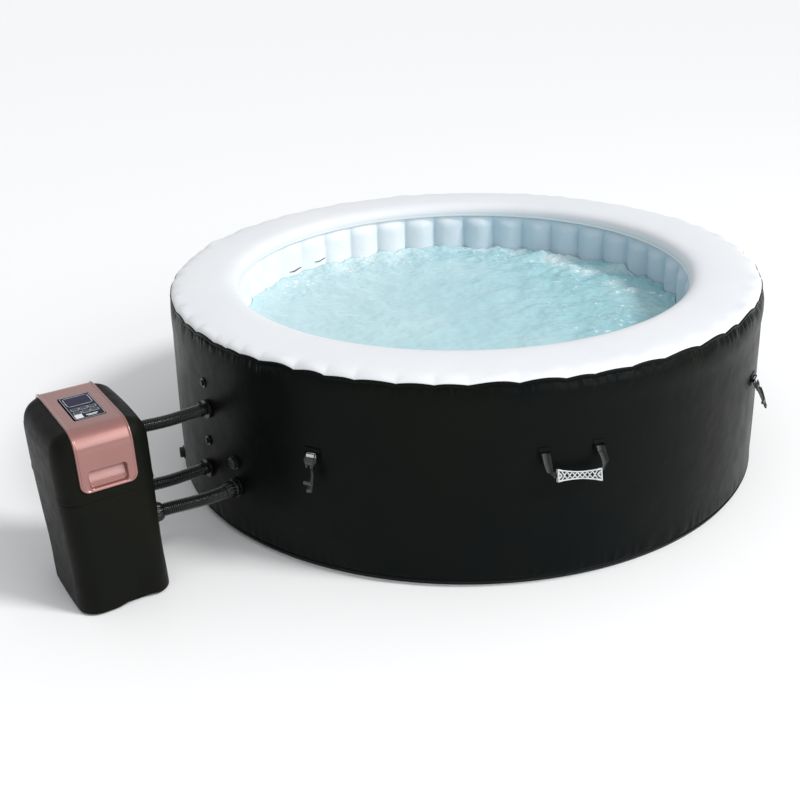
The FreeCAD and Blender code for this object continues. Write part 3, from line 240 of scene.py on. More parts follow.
def finish_material(name, colour, other, roughness, metallic=0.0, specular=0.5, coat=0.0,
                    patches=4.0, grain=(900, 0.0004), grain_detail=2.0, soft=None, stretch=None):
    """A surface whose colour drifts between two shades, with mottled roughness and a fine grain.

    patches is the scale of the drift. grain and soft each hold a bump's scale and its depth.
    """
    material, tree, shader = new_material(name)
    drifting_colour(tree, shader, patches, 4.0, colour, other)
    spots = noise_node(tree, patches * 7, 3.0)
    tree.links.new(span(tree, spots, *roughness), shader.inputs["Roughness"])
    set_inputs(shader, {"Metallic": metallic, "Specular IOR Level": specular,
                        "Coat Weight": coat, "Coat Roughness": 0.15})
    normal = bump(tree, noise_node(tree, soft[0], 2.0), soft[1]) if soft else None
    fine = noise_node(tree, grain[0], grain_detail, stretch)
    tree.links.new(bump(tree, fine, grain[1], 1.0, normal), shader.inputs["Normal"])
    return material


def webbing_material(name, colour, other):
    """Woven strap: ribs across and along at about 1.4 mm."""
    material, tree, shader = new_material(name)
    drifting_colour(tree, shader, 60, 3.0, colour, other)
    set_inputs(shader, {"Roughness": 0.75, "Specular IOR Level": 0.35, "Sheen Weight": 0.25,
                        "Sheen Roughness": 0.5})
    coordinates = tree.nodes.new("ShaderNodeTexCoord")
    normal = None
    for direction in ("X", "Y", "Z"):
        wave = tree.nodes.new("ShaderNodeTexWave")
        wave.bands_direction = direction
        set_inputs(wave, {"Scale": 220, "Distortion": 0.6})
        tree.links.new(coordinates.outputs["Object"], wave.inputs["Vector"])
        normal = bump(tree, wave.outputs["Fac"], 0.0003, 0.6, normal)
    tree.links.new(normal, shader.inputs["Normal"])
    return material


black_pvc = finish_material("black_pvc", (0.002, 0.0036, 0.0042), (0.0042, 0.0052, 0.0036),
                            (0.3, 0.39), specular=0.065, patches=2.5, grain=(1100, 0.0002),
                            soft=(14, 0.002))
patch_pvc = finish_material("patch_pvc", (0.0025, 0.0038, 0.0044), (0.0045, 0.0054, 0.004),
                            (0.34, 0.42), specular=0.08, patches=20, grain=(1300, 0.0002))
white_pvc = finish_material("white_pvc", (0.75, 0.77, 0.8), (0.8, 0.81, 0.83), (0.38, 0.5),
                            specular=0.4, patches=2.0, grain=(1000, 0.00012), soft=(7, 0.003))
# inner_pvc: pale PVC with a blue cast that is painted reflection of the water.
inner_pvc = finish_material("inner_pvc", (0.69, 0.76, 0.82), (0.76, 0.81, 0.85), (0.35, 0.48),
                            specular=0.4, patches=6.0, grain=(1000, 0.00012), soft=(16, 0.003))
fabric_pvc = finish_material("fabric_pvc", (0.55, 0.57, 0.58), (0.68, 0.69, 0.7), (0.6, 0.75),
                             grain=(600, 0.0006))
casing = finish_material("casing_plastic", (0.0042, 0.0052, 0.0042), (0.0066, 0.0072, 0.0046),
                         (0.4, 0.5), specular=0.07, patches=5, grain=(1500, 0.0003),
                         grain_detail=1.0)
black_plastic = finish_material("black_plastic", (0.006, 0.0065, 0.007), (0.01, 0.0105, 0.011),
                                (0.2, 0.32), specular=0.35, patches=15, grain=(1200, 0.0002))
buckle_plastic = finish_material("buckle_plastic", (0.03, 0.031, 0.03), (0.055, 0.056, 0.052),
                                 (0.14, 0.24), specular=0.7, patches=60, grain=(900, 0.0002))
white_plastic = finish_material("white_plastic", (0.68, 0.69, 0.7), (0.76, 0.77, 0.78), (0.35, 0.5),
                                patches=12, grain=(1200, 0.0002))
grip_plastic = finish_material("grip_plastic", (0.52, 0.54, 0.54), (0.66, 0.68, 0.68), (0.34, 0.46),
                               patches=30, grain=(900, 0.0003))
rose_gold = finish_material("rose_gold", (0.285, 0.118, 0.098), (0.345, 0.15, 0.142), (0.32, 0.4),
                            metallic=0.45, specular=0.7, coat=1.0, patches=3, grain=(2600, 0.00008),
                            soft=(9, 0.0006))
panel_plastic = finish_material("panel_plastic", (0.0035, 0.006, 0.013), (0.006, 0.009, 0.022),
                                (0.34, 0.44), specular=0.12, patches=12, grain=(700, 0.00005))
key_plastic = finish_material("key_plastic", (0.02, 0.024, 0.04), (0.1, 0.11, 0.14), (0.3, 0.4),
                              specular=0.15, patches=260, grain=(900, 0.0001))
lens_glass = finish_material("lens_glass", (0.004, 0.01, 0.035), (0.022, 0.012, 0.05), (0.2, 0.3),
                             specular=0.12, patches=30, grain=(300, 0.00003))
silver_ink = finish_material("silver_ink", (0.42, 0.47, 0.5), (0.62, 0.66, 0.68), (0.3, 0.4),
                             patches=90, grain=(1500, 0.00005))
# A dark finish for the strokes of painted shade just above the water.
shade_stroke_finish = finish_material("shade_stroke_finish", (0.03, 0.035, 0.04), (0.06, 0.065, 0.07), (0.4, 0.5),
                           patches=60, grain=(1500, 0.00005))
label_film = finish_material("label_film", (0.68, 0.68, 0.7), (0.76, 0.76, 0.78), (0.4, 0.5),
                             patches=60, grain=(1500, 0.00005))
hose_rubber = finish_material("hose_rubber", (0.004, 0.0045, 0.005), (0.007, 0.0075, 0.008),
                              (0.1, 0.18), specular=0.45, coat=0.2, patches=20, grain=(800, 0.0002))
seal_rubber = finish_material("seal_rubber", (0.012, 0.012, 0.012), (0.02, 0.02, 0.02), (0.6, 0.75),
                              specular=0.3, patches=25, grain=(700, 0.0004))
steel = finish_material("steel", (0.42, 0.42, 0.43), (0.55, 0.55, 0.56), (0.22, 0.36), metallic=1.0,
                        patches=30, grain=(500, 0.0002), stretch=(1, 1, 12))
black_steel = finish_material("black_steel", (0.006, 0.006, 0.0065), (0.012, 0.012, 0.0125),
                              (0.25, 0.4), specular=0.5, patches=30, grain=(500, 0.0002))
motor_paint = finish_material("motor_paint", (0.05, 0.055, 0.06), (0.08, 0.085, 0.09), (0.4, 0.55),
                              patches=20, grain=(600, 0.0006))
board_green = finish_material("board_green", (0.01, 0.09, 0.04), (0.015, 0.13, 0.055), (0.3, 0.45),
                              patches=50, grain=(400, 0.0003))
filter_paper = finish_material("filter_paper", (0.72, 0.76, 0.8), (0.8, 0.83, 0.86), (0.7, 0.85),
                               patches=20, grain=(700, 0.0006))
webbing = webbing_material("webbing", (0.009, 0.009, 0.0095), (0.018, 0.018, 0.019))


def attribute_node(tree, name):
    """The values that store_values kept under this name."""
    node = tree.nodes.new("ShaderNodeAttribute")
    node.attribute_name = name
    return node.outputs["Fac"]


def water_material():
    """Turquoise water, darker to one side with painted shade, that whitens with its foam value,
    which also holds painted glints.
    """
    material, tree, shader = new_material("water")
    foam_and_glints = attribute_node(tree, "foam_and_glints")
    side = span(tree, attribute_node(tree, "painted_shade_side"), 0, 1, -0.7, 0.75)
    # The second colour is painted shade, for the side of the water that lies in shadow.
    base = mixed(tree, side, (0.52, 0.70, 0.74), (0.28, 0.545, 0.60))
    cloud = span(tree, noise_node(tree, 3.2, 4.0), 0.0, 0.5, 0.4, 0.7)
    clear = mixed(tree, cloud, base, (0.55, 0.74, 0.77))
    # The whitening is foam, and painted glints where the flecks are.
    tree.links.new(mixed(tree, foam_and_glints, clear, (0.80, 0.87, 0.89)), shader.inputs["Base Color"])
    tree.links.new(span(tree, foam_and_glints, 0.10, 0.4, 0, 1), shader.inputs["Roughness"])
    set_inputs(shader, {"IOR": 1.33, "Specular IOR Level": 0.4})
    normal = bump(tree, noise_node(tree, 34, 3.0), 0.0022)
    normal = bump(tree, noise_node(tree, 110, 2.0), 0.0004, 1.0, normal)
    tree.links.new(normal, shader.inputs["Normal"])
    return material


def fluted_material():
    """Pale PVC turned blue-grey by painted shade on its shaded side and in its creases, with
    painted reflection of the water's blue.
    """
    material = finish_material("fluted_pvc", (0.84, 0.85, 0.865), (0.87, 0.875, 0.885),
                               (0.35, 0.48), specular=0.4, patches=6.0, grain=(1000, 0.00012),
                               soft=(16, 0.003))
    tree = material.node_tree
    shader = tree.nodes["Principled BSDF"]
    white = shader.inputs["Base Color"].links[0].from_socket
    # The blue-grey is painted shade and painted reflection of the water, mixed in by the stored
    # shade value.
    tree.links.new(mixed(tree, attribute_node(tree, "painted_shade"), white, (0.52, 0.645, 0.73)),
                   shader.inputs["Base Color"])
    return material


water_finish = water_material()
fluted_finish = fluted_material()

CAD_FINISHES = (
    (black_pvc, "outer_wall"),
    (white_pvc, "top_rim"),
    (inner_pvc, "inner_wall tub_floor bubble_ring"),
    (fabric_pvc, "tension_webs"),
    (patch_pvc, "anchor_patches"),
    (webbing, "handle_strap lid_strap"),
    (grip_plastic, "handle_grip"),
    (casing, "pump_lower_housing pump_hood pump_base_plate"),
    (rose_gold, "pump_band pump_grip_cup"),
    (panel_plastic, "control_panel"),
    (key_plastic, "button"),
    (lens_glass, "display_lens"),
    (board_green, "circuit_board"),
    (black_plastic, "wall_fittings inflation_valve check_valves drain_valve drain_cap pump_spigots"
                    " inlet_nut power_gland water_pump_volute blower_housing"),
    (white_plastic, "filter_housing water_pump_impeller blower_fan"),
    (filter_paper, "filter_cartridge"),
    (seal_rubber, "fitting_gaskets pump_feet pump_to_heater_tube"),
    (hose_rubber, "hose"),
    (steel, "heater_tube"),
    (black_steel, "housing_screws hose_clamps"),
    (motor_paint, "water_pump_motor blower_motor"),
)


def finish_for(node_name):
    """The finish listed with the longest start of this node's name."""
    fits = {start: finish for finish, starts in CAD_FINISHES for start in starts.split()
            if node_name.startswith(start)}
    return fits[max(fits, key=len)]


for node_name, node in nodes.items():
    node.data.materials.clear()
    node.data.materials.append(finish_for(node_name))


def add_piece(piece, material, body, slot, *replaced):
    """Give a piece its material and body, and hide the CAD nodes it stands in for. slot is not
    used.
    """
    piece.data.materials.append(material)
    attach(piece, body)
    if replaced:
        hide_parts(*replaced)
    return piece


# ---- hoses ----

HOSE_DIAMETER = 0.036
HOSE_STEP = 0.0012
HOSE_SIDES = 40
CUFF_LENGTH = 0.020
CUFF_SWELL = 0.0012
# Each route runs from the pump to the tub.
HOSES = {
    "hose_air": ((-1.2798, -0.070, 0.395), (-1.225, -0.070, 0.395), (-1.150, -0.071, 0.390),
                 (-1.0827, -0.0749, 0.395), (-1.0211, -0.0707, 0.395)),
    "hose_outlet": ((-1.2798, -0.045, 0.180), (-1.225, -0.045, 0.180), (-1.150, -0.046, 0.175),
                    (-1.0903, -0.0481, 0.180), (-1.0285, -0.0454, 0.180)),
    "hose_inlet": ((-1.2798, -0.212, 0.180), (-1.222, -0.212, 0.180), (-1.145, -0.219, 0.177),
                   (-1.0675, -0.2267, 0.180), (-1.0071, -0.2139, 0.180)),
}
RIB_PITCHES = {"hose_air": 0.0055, "hose_outlet": 0.0055, "hose_inlet": 0.0065}
RIB_DEPTHS = {"hose_air": 0.0017, "hose_outlet": 0.0017, "hose_inlet": 0.0024}


def spline_points(name, route):
    """Points along the route's NURBS spline."""
    data = bpy.data.curves.new(name + "_route", "CURVE")
    data.dimensions = "3D"
    data.resolution_u = 64
    spline = data.splines.new("NURBS")
    spline.points.add(len(route) - 1)
    for point, place in zip(spline.points, route):
        point.co = (*place, 1)
    spline.order_u = 3
    spline.use_endpoint_u = True
    holder = linked(name + "_route", data)
    bpy.context.view_layer.update()
    mesh = bpy.data.meshes.new_from_object(holder)
    points = np.array([v.co[:] for v in mesh.vertices])
    bpy.data.objects.remove(holder)
    bpy.data.curves.remove(data)
    bpy.data.meshes.remove(mesh)
    return points


def even_points(points, step):
    """Points about a step apart along a line, and how far along it each one lies."""
    lengths = np.concatenate([[0], np.cumsum(np.linalg.norm(np.diff(points, axis=0), axis=1))])
    count = max(2, int(round(lengths[-1] / step)) + 1)
    wanted = np.linspace(0, lengths[-1], count)
    return np.stack([np.interp(wanted, lengths, points[:, k]) for k in range(3)], 1), wanted


def tube(name, path, radii, sides):
    """A closed tube along path with a radius for each point, or for each point and side."""
    tangents = np.gradient(path, axis=0)
    tangents /= np.linalg.norm(tangents, axis=1)[:, None]
    side = np.cross(tangents[0], (0, 0, 1))
    side /= np.linalg.norm(side)
    turns = np.linspace(0, TAU, sides, endpoint=False)
    rings = []
    for tangent, centre, radius in zip(tangents, path, radii):
        side = side - tangent * np.dot(side, tangent)
        side /= np.linalg.norm(side)
        other = np.cross(tangent, side)
        ring = (np.cos(turns)[:, None] * side + np.sin(turns)[:, None] * other)
        rings.append(centre + ring * np.reshape(radius, (-1, 1)))
    points = np.concatenate([*rings, path[:1], path[-1:]])
    return mesh_piece(name, points, capped_quads(len(path), sides))


def add_hose(name, route):
    """A hose with spiral ribs that fade into a plain cuff at each end."""
    path, along = even_points(spline_points(name, route), HOSE_STEP)
    turns = np.linspace(0, TAU, HOSE_SIDES, endpoint=False)
    depth = RIB_DEPTHS[name]
    phase = along[:, None] / RIB_PITCHES[name] * TAU - turns[None, :]
    ribs = np.abs(np.cos(phase / 2)) ** 0.7
    ends = ramp(0.0, CUFF_LENGTH, along) * ramp(0.0, CUFF_LENGTH, along[-1] - along)
    cuff = 1 - ends[:, None]
    radii = HOSE_DIAMETER / 2 - depth + depth * 2 * ribs * ends[:, None] + CUFF_SWELL * cuff
    piece = tube(name + "_ribbed", path, radii, HOSE_SIDES)
    add_piece(piece, hose_rubber, "tub", "hose_rubber", name)


for hose_name, hose_route in HOSES.items():
    add_hose(hose_name, hose_route)


# The nut's section: distance along its axis, radius, and whether the grip ribs show.
NUT_SECTION = ((0.0000, 0.0200, 0), (0.0000, 0.0262, 0), (0.0008, 0.0270, 0), (0.0050, 0.0270, 0),
               (0.0062, 0.0262, 0), (0.0070, 0.0245, 0), (0.0084, 0.0252, 1), (0.0300, 0.0236, 1),
               (0.0316, 0.0226, 0), (0.0370, 0.0212, 0), (0.0384, 0.0200, 0), (0.0384, 0.0186, 0),
               (0.0300, 0.0186, 0), (0.0100, 0.0200, 0))
NUT_BORE = 0.0205
NUT_RIBS = 16
NUT_RIB_HEIGHT = 0.0011
INLET_Y = -0.212
INLET_HEIGHT = 0.180
PUMP_NUT_X = -1.2797
TUB_NUT_RADIUS = 1.0307
INLET_ANGLE = math.radians(180) - math.asin(INLET_Y / 1.02051)


def add_nut(name, body, place, axis, girth, replaced):
    """A long coupling nut that tapers away from its flange, with grip ribs."""
    axis = Vector(axis).normalized()
    side = axis.cross(Vector((0, 0, 1))).normalized()
    other = axis.cross(side)
    turns = np.linspace(0, TAU, 96, endpoint=False)
    ribs = NUT_RIB_HEIGHT * np.clip(np.cos(turns * NUT_RIBS) * 2.2, -1, 1)
    rows = []
    for along, radius, ribbed in NUT_SECTION:
        r = radius * girth + ribs * ribbed if radius > NUT_BORE else radius + ribs * ribbed
        rows.append([Vector(place) + axis * along + side * (a * math.cos(t))
                     + other * (a * math.sin(t)) for a, t in zip(r, turns)])
    quads = grid_quads(len(NUT_SECTION), len(turns), True, True)
    piece = mesh_piece(name, np.array(rows), quads)
    add_piece(piece, black_plastic, body, "black_plastic", replaced)


to_tub = (math.cos(INLET_ANGLE), math.sin(INLET_ANGLE), 0)
add_nut("coupling_nut_pump", "pump_nut", (PUMP_NUT_X, INLET_Y, INLET_HEIGHT), (1, 0, 0), 1.20,
        "inlet_nut_pump")
add_nut("coupling_nut_tub", "tub_nut",
        (TUB_NUT_RADIUS * to_tub[0], TUB_NUT_RADIUS * to_tub[1], INLET_HEIGHT), to_tub, 1.0,
        "inlet_nut_tub")


# ---- tub walls ----

WALL_ARC = ((1.000, 0.633), (1.016, 0.340), (1.022, 0.040))
SEAM_HEIGHT = 0.633


def arc_through(first, second, third):
    """The centre and radius of the circle through three points."""
    (ax, ay), (bx, by), (cx, cy) = first, second, third
    d = 2 * (ax * (by - cy) + bx * (cy - ay) + cx * (ay - by))
    a2, b2, c2 = ax * ax + ay * ay, bx * bx + by * by, cx * cx + cy * cy
    ux = (a2 * (by - cy) + b2 * (cy - ay) + c2 * (ay - by)) / d
    uy = (a2 * (cx - bx) + b2 * (ax - cx) + c2 * (bx - ax)) / d
    return ux, uy, math.hypot(ax - ux, ay - uy)


ARC_X, ARC_Z, ARC_R = arc_through(*WALL_ARC)


def wall_radius(z):
    """The outer wall's radius at a height, without its bulge."""
    return ARC_X + np.sqrt(ARC_R ** 2 - (np.asarray(z, float) - ARC_Z) ** 2)


def seam_scallops(angles):
    """Height of the rim's seam above its mean: uneven arcs that meet in downward cusps."""
    random.seed(7)
    cusps = [0.0]
    while cusps[-1] < TAU - 0.06:
        cusps.append(cusps[-1] + random.uniform(0.06, 0.16))
    cusps = np.array(cusps) * TAU / cusps[-1]
    rises = np.array([random.uniform(0.45, 1.0) for _ in cusps])
    tilts = np.array([random.uniform(0.7, 1.45) for _ in cusps])
    span_of = np.clip(np.searchsorted(cusps, angles, side="right") - 1, 0, len(cusps) - 2)
    width = cusps[span_of + 1] - cusps[span_of]
    t = ((angles - cusps[span_of]) / width) ** tilts[span_of]
    rise = rises[span_of] * (width / 0.12)
    drift = ring_noise(angles, 0.45, 31.0)
    return 0.0100 * rise * np.sin(math.pi * t) ** 0.8 - 0.0060 + 0.004 * drift


SEAM_COLUMNS = 2400
seam_angles = np.linspace(0, TAU, SEAM_COLUMNS, endpoint=False)
seam_rise = seam_scallops(seam_angles)
WEB_COVER = 0.0012
PUCKER_DEPTH = 0.0050
# How far below the seam, and how far out of the wall's arc, each row of its lip and bulge lies.
LIP_ROWS = (
    (-0.0012, 0.0004), (0.0, 0.0020), (0.0012, 0.0032), (0.004, 0.0034), (0.0072, 0.0028),
    (0.0088, 0.0012), (0.0102, -0.0006), (0.0118, -0.0011), (0.0140, -0.0010), (0.0165, -0.0004),
    (0.0195, 0.0008), (0.0230, 0.0026), (0.0270, 0.0046), (0.0315, 0.0064), (0.0365, 0.0078),
    (0.042, 0.0088), (0.048, 0.0094), (0.055, 0.0096), (0.063, 0.0094), (0.072, 0.0087),
    (0.083, 0.0074), (0.096, 0.0056), (0.112, 0.0036))
WALL_HEIGHTS = (0.50, 0.47, 0.43, 0.38, 0.33, 0.28, 0.23, 0.18, 0.13, 0.10, 0.08, 0.065, 0.054,
                0.046, 0.040, 0.034, 0.0285)
FOOT_SECTION = ((1.0203, 0.0252), (1.0212, 0.0236), (1.0226, 0.0226), (1.0234, 0.0205),
                (1.0230, 0.0180), (1.0214, 0.0166), (1.0197, 0.0150), (1.0186, 0.0110),
                (1.0160, 0.0050), (1.0110, 0.0012), (1.0020, 0.0008))
WALL_LINING = ((1.0020, 0.0028), (1.0090, 0.0040), (1.0150, 0.0120), (1.0168, 0.0400),
               (1.0140, 0.1800), (1.0100, 0.3400), (1.0030, 0.5000), (0.9960, 0.5900),
               (0.9950, 0.6200))


def seam_puckers(angles):
    """Creases that run down from the seam: their strength, and how far down each one reaches."""
    creases = 1 - 2.4 * np.abs(ring_noise(angles, 0.026, 3.0))
    fine = 1 - 2.2 * np.abs(ring_noise(angles, 0.014, 9.0))
    strength = 0.65 + 0.9 * ring_noise(angles, 0.21, 14.0)
    pucker = np.clip(creases, -1, 1) * 0.7 + np.clip(fine, -1, 1) * 0.35
    reach = 0.046 + 0.030 * ring_noise(angles, 0.045, 22.0) + 0.016 * ring_noise(angles, 0.3, 5.0)
    return pucker * np.clip(strength, 0.25, 1.2), reach


def add_outer_wall():
    """The black skin: a lip, puckers and a bulge under the seam, and a welded bead at the foot."""
    angles = seam_angles
    pucker, reach = seam_puckers(angles)
    low_pucker = 1 - 2.2 * np.abs(ring_noise(angles, 0.034, 41.0))
    facing = 0.45 + 0.55 * ramp(0.1, 0.8, np.cos(angles + 1.0))
    radii, heights = [], []
    for drop, out in LIP_ROWS:
        arc = wall_radius(SEAM_HEIGHT - drop)
        shown = ramp(0.0095, 0.016, drop) * (1 - ramp(0.30, 1.0, drop / reach))
        depth = PUCKER_DEPTH * shown * pucker
        out = out * facing if drop > 0.018 else out
        radii.append(np.maximum(arc + out + depth, arc - WEB_COVER))
        heights.append(SEAM_HEIGHT - drop + seam_rise * (1 - ramp(0.02, 0.11, drop)))
    for z in WALL_HEIGHTS:
        soft = ring_noise(angles, 0.22, 60.0, z / 0.5) * 0.0012 - 0.0007
        low = 0.0016 * ramp(0.075, 0.035, z) * low_pucker if z < 0.08 else 0
        swell = 0.0036 * float(ramp(0.36, 0.521, z)) * facing
        radii.append(wall_radius(z) + np.minimum(soft, 0.0002) + low + swell)
        heights.append(np.full_like(angles, z))
    wave = 0.0012 * ring_noise(angles, 0.06, 77.0)
    for r, z in FOOT_SECTION:
        shift = wave if z > 0.015 else 0 * wave
        radii.append(r + shift)
        heights.append(z + shift)
    add_plain_rows(radii, heights, angles, WALL_LINING)
    piece = ring_piece("wall_skin", radii, heights, angles)
    return add_piece(piece, black_pvc, "tub", "black_pvc", "outer_wall")


add_outer_wall()

RIM_TOP = ((0.9955, 0.6240), (0.9990, 0.6290), (1.0000, 0.6325), (0.9990, 0.6362),
           (0.9965, 0.6402), (0.9925, 0.6436), (0.9865, 0.6462), (0.978, 0.6482),
           (0.966, 0.6496), (0.950, 0.6507), (0.930, 0.6515), (0.908, 0.6519), (0.886, 0.6520),
           (0.864, 0.6518), (0.842, 0.6511), (0.824, 0.6500), (0.810, 0.6480), (0.7990, 0.6450),
           (0.7900, 0.6408), (0.7835, 0.6355), (0.7790, 0.6295), (0.7765, 0.6230),
           (0.7754, 0.6170), (0.7756, 0.6130), (0.7768, 0.6112), (0.7772, 0.6100),
           (0.7760, 0.6086), (0.7745, 0.6072), (0.7738, 0.6055), (0.7742, 0.6038),
           (0.7756, 0.6024), (0.7790, 0.6020))
RIM_UNDER = ((0.7850, 0.6060), (0.8000, 0.6280), (0.8400, 0.6380), (0.886, 0.6400),
             (0.940, 0.6380), (0.980, 0.6310), (0.990, 0.6240))
RIM_INNER_RADIUS = 0.7757
BEAD_TOP = 0.6125

def add_rim():
    """The white rim: its outer edge follows the seam, and a bead runs round its inner edge."""
    angles, rise = seam_angles[::2], seam_rise[::2]
    radii, heights = [], []
    edge_noise = ring_noise(angles, 0.05, 101.0)
    inner_noise = 0.0010 * ring_noise(angles, 0.12, 140.0)
    seam_side = 0.15 + 0.85 * ramp(0.55, 0.95, np.cos(angles + 0.25))
    for r, z in RIM_TOP:
        bead = (r - RIM_INNER_RADIUS) * (seam_side - 1) if z < BEAD_TOP else 0
        follow = ramp(0.965, 0.997, r)
        pleats = 0.0014 * ramp(0.955, 0.985, r) * (1 - ramp(0.992, 0.9985, r)) * edge_noise
        swell = 0.0016 * ring_noise(angles, 0.35, 120.0, r * 3) * ramp(0.775, 0.83, r)
        swell = swell * (1 - ramp(0.95, 0.985, r))
        radii.append(r + inner_noise * (1 - ramp(0.79, 0.81, r)) + bead)
        heights.append(z + rise * follow + pleats + swell)
    add_plain_rows(radii, heights, angles, RIM_UNDER)
    piece = ring_piece("rim_skin", radii, heights, angles)
    return add_piece(piece, white_pvc, "tub", "white_pvc", "top_rim")


add_rim()

FLUTES = 40
WEB_RADIUS = 0.790
FLUTE_DEPTH = 0.025
FLUTE_COLUMNS = 26
FLUTE_HEIGHTS = (0.004, 0.010, 0.020, 0.040, 0.100, 0.200, 0.300, 0.400, 0.450, 0.480, 0.500,
                 0.520, 0.540, 0.555, 0.568, 0.580, 0.590, 0.599, 0.607, 0.614, 0.620, 0.625,
                 0.628)
FLUTE_BACK = ((0.793, 0.628), (0.7945, 0.5), (0.7945, 0.2), (0.7945, 0.004))


def flute_shape(angles):
    """How far the inner wall bulges inwards, 0 at a web and about 1 between two."""
    random.seed(19)
    sizes = np.array([random.uniform(0.86, 1.1) for _ in range(FLUTES)])
    turn = (angles % TAU) / TAU * FLUTES
    which = np.floor(turn).astype(int) % FLUTES
    return sizes[which] * np.abs(np.sin(math.pi * turn)) ** 0.8


def inner_radius(angles, z):
    """The inner wall's radius: flutes that fade out at the floor and under the rim."""
    fade = ramp(0.604, 0.560, z) if z > 0.5 else ramp(0.0, 0.04, z)
    lean = 0.005 * float(ramp(0.54, 0.600, z))
    shallow = 0.55 + 0.45 * ramp(-0.55, 0.25, np.cos(angles))
    return WEB_RADIUS - lean - FLUTE_DEPTH * fade * shallow * flute_shape(angles)


def flute_painted_shade(angles):
    """Painted shade on the inner wall, blue-grey: more to the side away from the light, and in the
    creases between flutes.
    """
    turn = (angles / TAU * FLUTES) % 1.0
    # crease: painted shade beside each web, wider on one side of it than the other.
    crease = np.maximum(np.exp(-(1 - turn) / 0.17), 0.6 * np.exp(-turn / 0.05))
    painted_shade = ramp(-0.15, 0.85, np.cos(angles + 0.15))
    edge = ramp(-0.62, 0.1, np.cos(angles))
    return np.clip(painted_shade * 0.9 + crease * (0.55 * edge + 0.3 * painted_shade), 0, 1.4)


def add_inner_wall():
    """The pale fluted skin, slightly uneven above the water."""
    angles = np.linspace(0, TAU, FLUTES * FLUTE_COLUMNS, endpoint=False)
    radii, heights = [], []
    for z in FLUTE_HEIGHTS:
        sag = 0.0035 * ring_noise(angles, 0.07, 200.0, z / 0.09) * ramp(0.44, 0.52, z)
        sag = sag * (1 - ramp(0.585, 0.605, z))
        radii.append(inner_radius(angles, z) + sag)
        heights.append(np.full_like(angles, z))
    add_plain_rows(radii, heights, angles, FLUTE_BACK)
    piece = ring_piece("fluted_skin", radii, heights, angles)
    store_values(piece, "painted_shade", np.tile(flute_painted_shade(angles), len(radii)))
    return add_piece(piece, fluted_finish, "tub", "inner_pvc", "inner_wall")


add_inner_wall()


# ---- water ----

WATER_LEVEL = 0.480
WATER_DEPTH = 0.035
WATER_GAP = 0.0015
WATER_CELLS = 300
VIEW_SIDE, VIEW_DEPTH = 0.535, 0.844


def water_height(x, y, radius):
    """Low swell, chop that grows towards the far wall, and scattered white flecks that are partly
    foam and partly painted glints.
    """
    place = Vector((x, y, 0.0))
    swell = noise.fractal(place * 3.2 + Vector((3, 1, 0.4)), 0.9, 2.1, 3)
    chop = noise.turbulence(place * 11.0 + Vector((0, 0, 2.2)), 3, False, amplitude_scale=0.55)
    fine = noise.turbulence(place * 38.0 + Vector((0, 0, 7.0)), 3, False, amplitude_scale=0.6)
    across = VIEW_DEPTH * x - VIEW_SIDE * y
    away = VIEW_SIDE * x + VIEW_DEPTH * y
    near_wall = float(ramp(0.42, 0.74, radius))
    far = float(ramp(-0.15, 0.55, away))
    patch = noise.noise(place * 5.0 + Vector((9, 4, 1)))
    boil = 0.10 + 0.75 * near_wall * far * (0.7 + 0.6 * patch) + 0.22 * float(ramp(0, 0.5, across))
    boil = min(1.0, max(0.06, boil))
    height = 0.0035 * swell + (0.003 + 0.017 * boil) * (chop - 0.45) + 0.005 * boil * (fine - 0.4)
    # White flecks: partly foam, partly painted glints on the water's surface.
    foam_and_glint_fleck = noise.noise(place * 46.0 + Vector((2, 5, 3))) + 0.5 * noise.noise(place * 95.0)
    cluster = noise.noise(place * 9.0 + Vector((7, 1, 8)))
    foam_and_glints = 0.55 * float(ramp(0.48, 0.95, boil + 0.35 * cluster))
    foam_and_glints += float(ramp(0.50, 0.72, foam_and_glint_fleck + 0.45 * cluster)) * float(ramp(0.1, 0.4, boil)) * 0.9
    return height, foam_and_glints, across


def add_water():
    """A slab of water: a square grid bent into a disc that meets the fluted wall."""
    count = WATER_CELLS + 1
    line = np.linspace(-1, 1, count)
    u, v = np.meshgrid(line, line)
    x = u * np.sqrt(1 - v * v / 2)
    y = v * np.sqrt(1 - u * u / 2)
    radius = np.hypot(x, y)
    angle = np.arctan2(y, x)
    edge = inner_radius(angle, WATER_LEVEL) - WATER_GAP
    base = WEB_RADIUS - FLUTE_DEPTH
    reach = radius * (base + (edge - base) * radius ** 10)
    x, y = reach * np.cos(angle), reach * np.sin(angle)
    top, foam_and_glints, shade = np.zeros_like(x), np.zeros_like(x), np.zeros_like(x)
    for index in np.ndindex(x.shape):
        height, white, painted_shade_side = water_height(x[index], y[index], reach[index])
        top[index] = WATER_LEVEL + height
        foam_and_glints[index] = min(1.0, white)
        shade[index] = painted_shade_side
    under = np.full_like(x, WATER_LEVEL - WATER_DEPTH)
    points = np.concatenate([np.stack([x, y, top], -1).reshape(-1, 3),
                             np.stack([x, y, under], -1).reshape(-1, 3)])
    upper = grid_quads(count, count, False, False)
    lower = grid_quads(count, count, False, False, count * count)[:, ::-1]
    last = count - 1
    rim = ([(0, k) for k in range(last)] + [(k, last) for k in range(last)]
           + [(last, last - k) for k in range(last)] + [(last - k, 0) for k in range(last)])
    loop = np.array([r * count + c for r, c in rim])
    after = np.roll(loop, -1)
    skirt = np.stack([after, loop, loop + count * count, after + count * count], 1)
    piece = mesh_piece("water", points, np.concatenate([upper, lower, skirt]))
    for label, values in (("foam_and_glints", foam_and_glints), ("painted_shade_side", shade)):
        store_values(piece, label, np.concatenate([values.ravel(), values.ravel()]))
    return add_piece(piece, water_finish, "tub", "inner_pvc")


add_water()


# ---- pump band ----

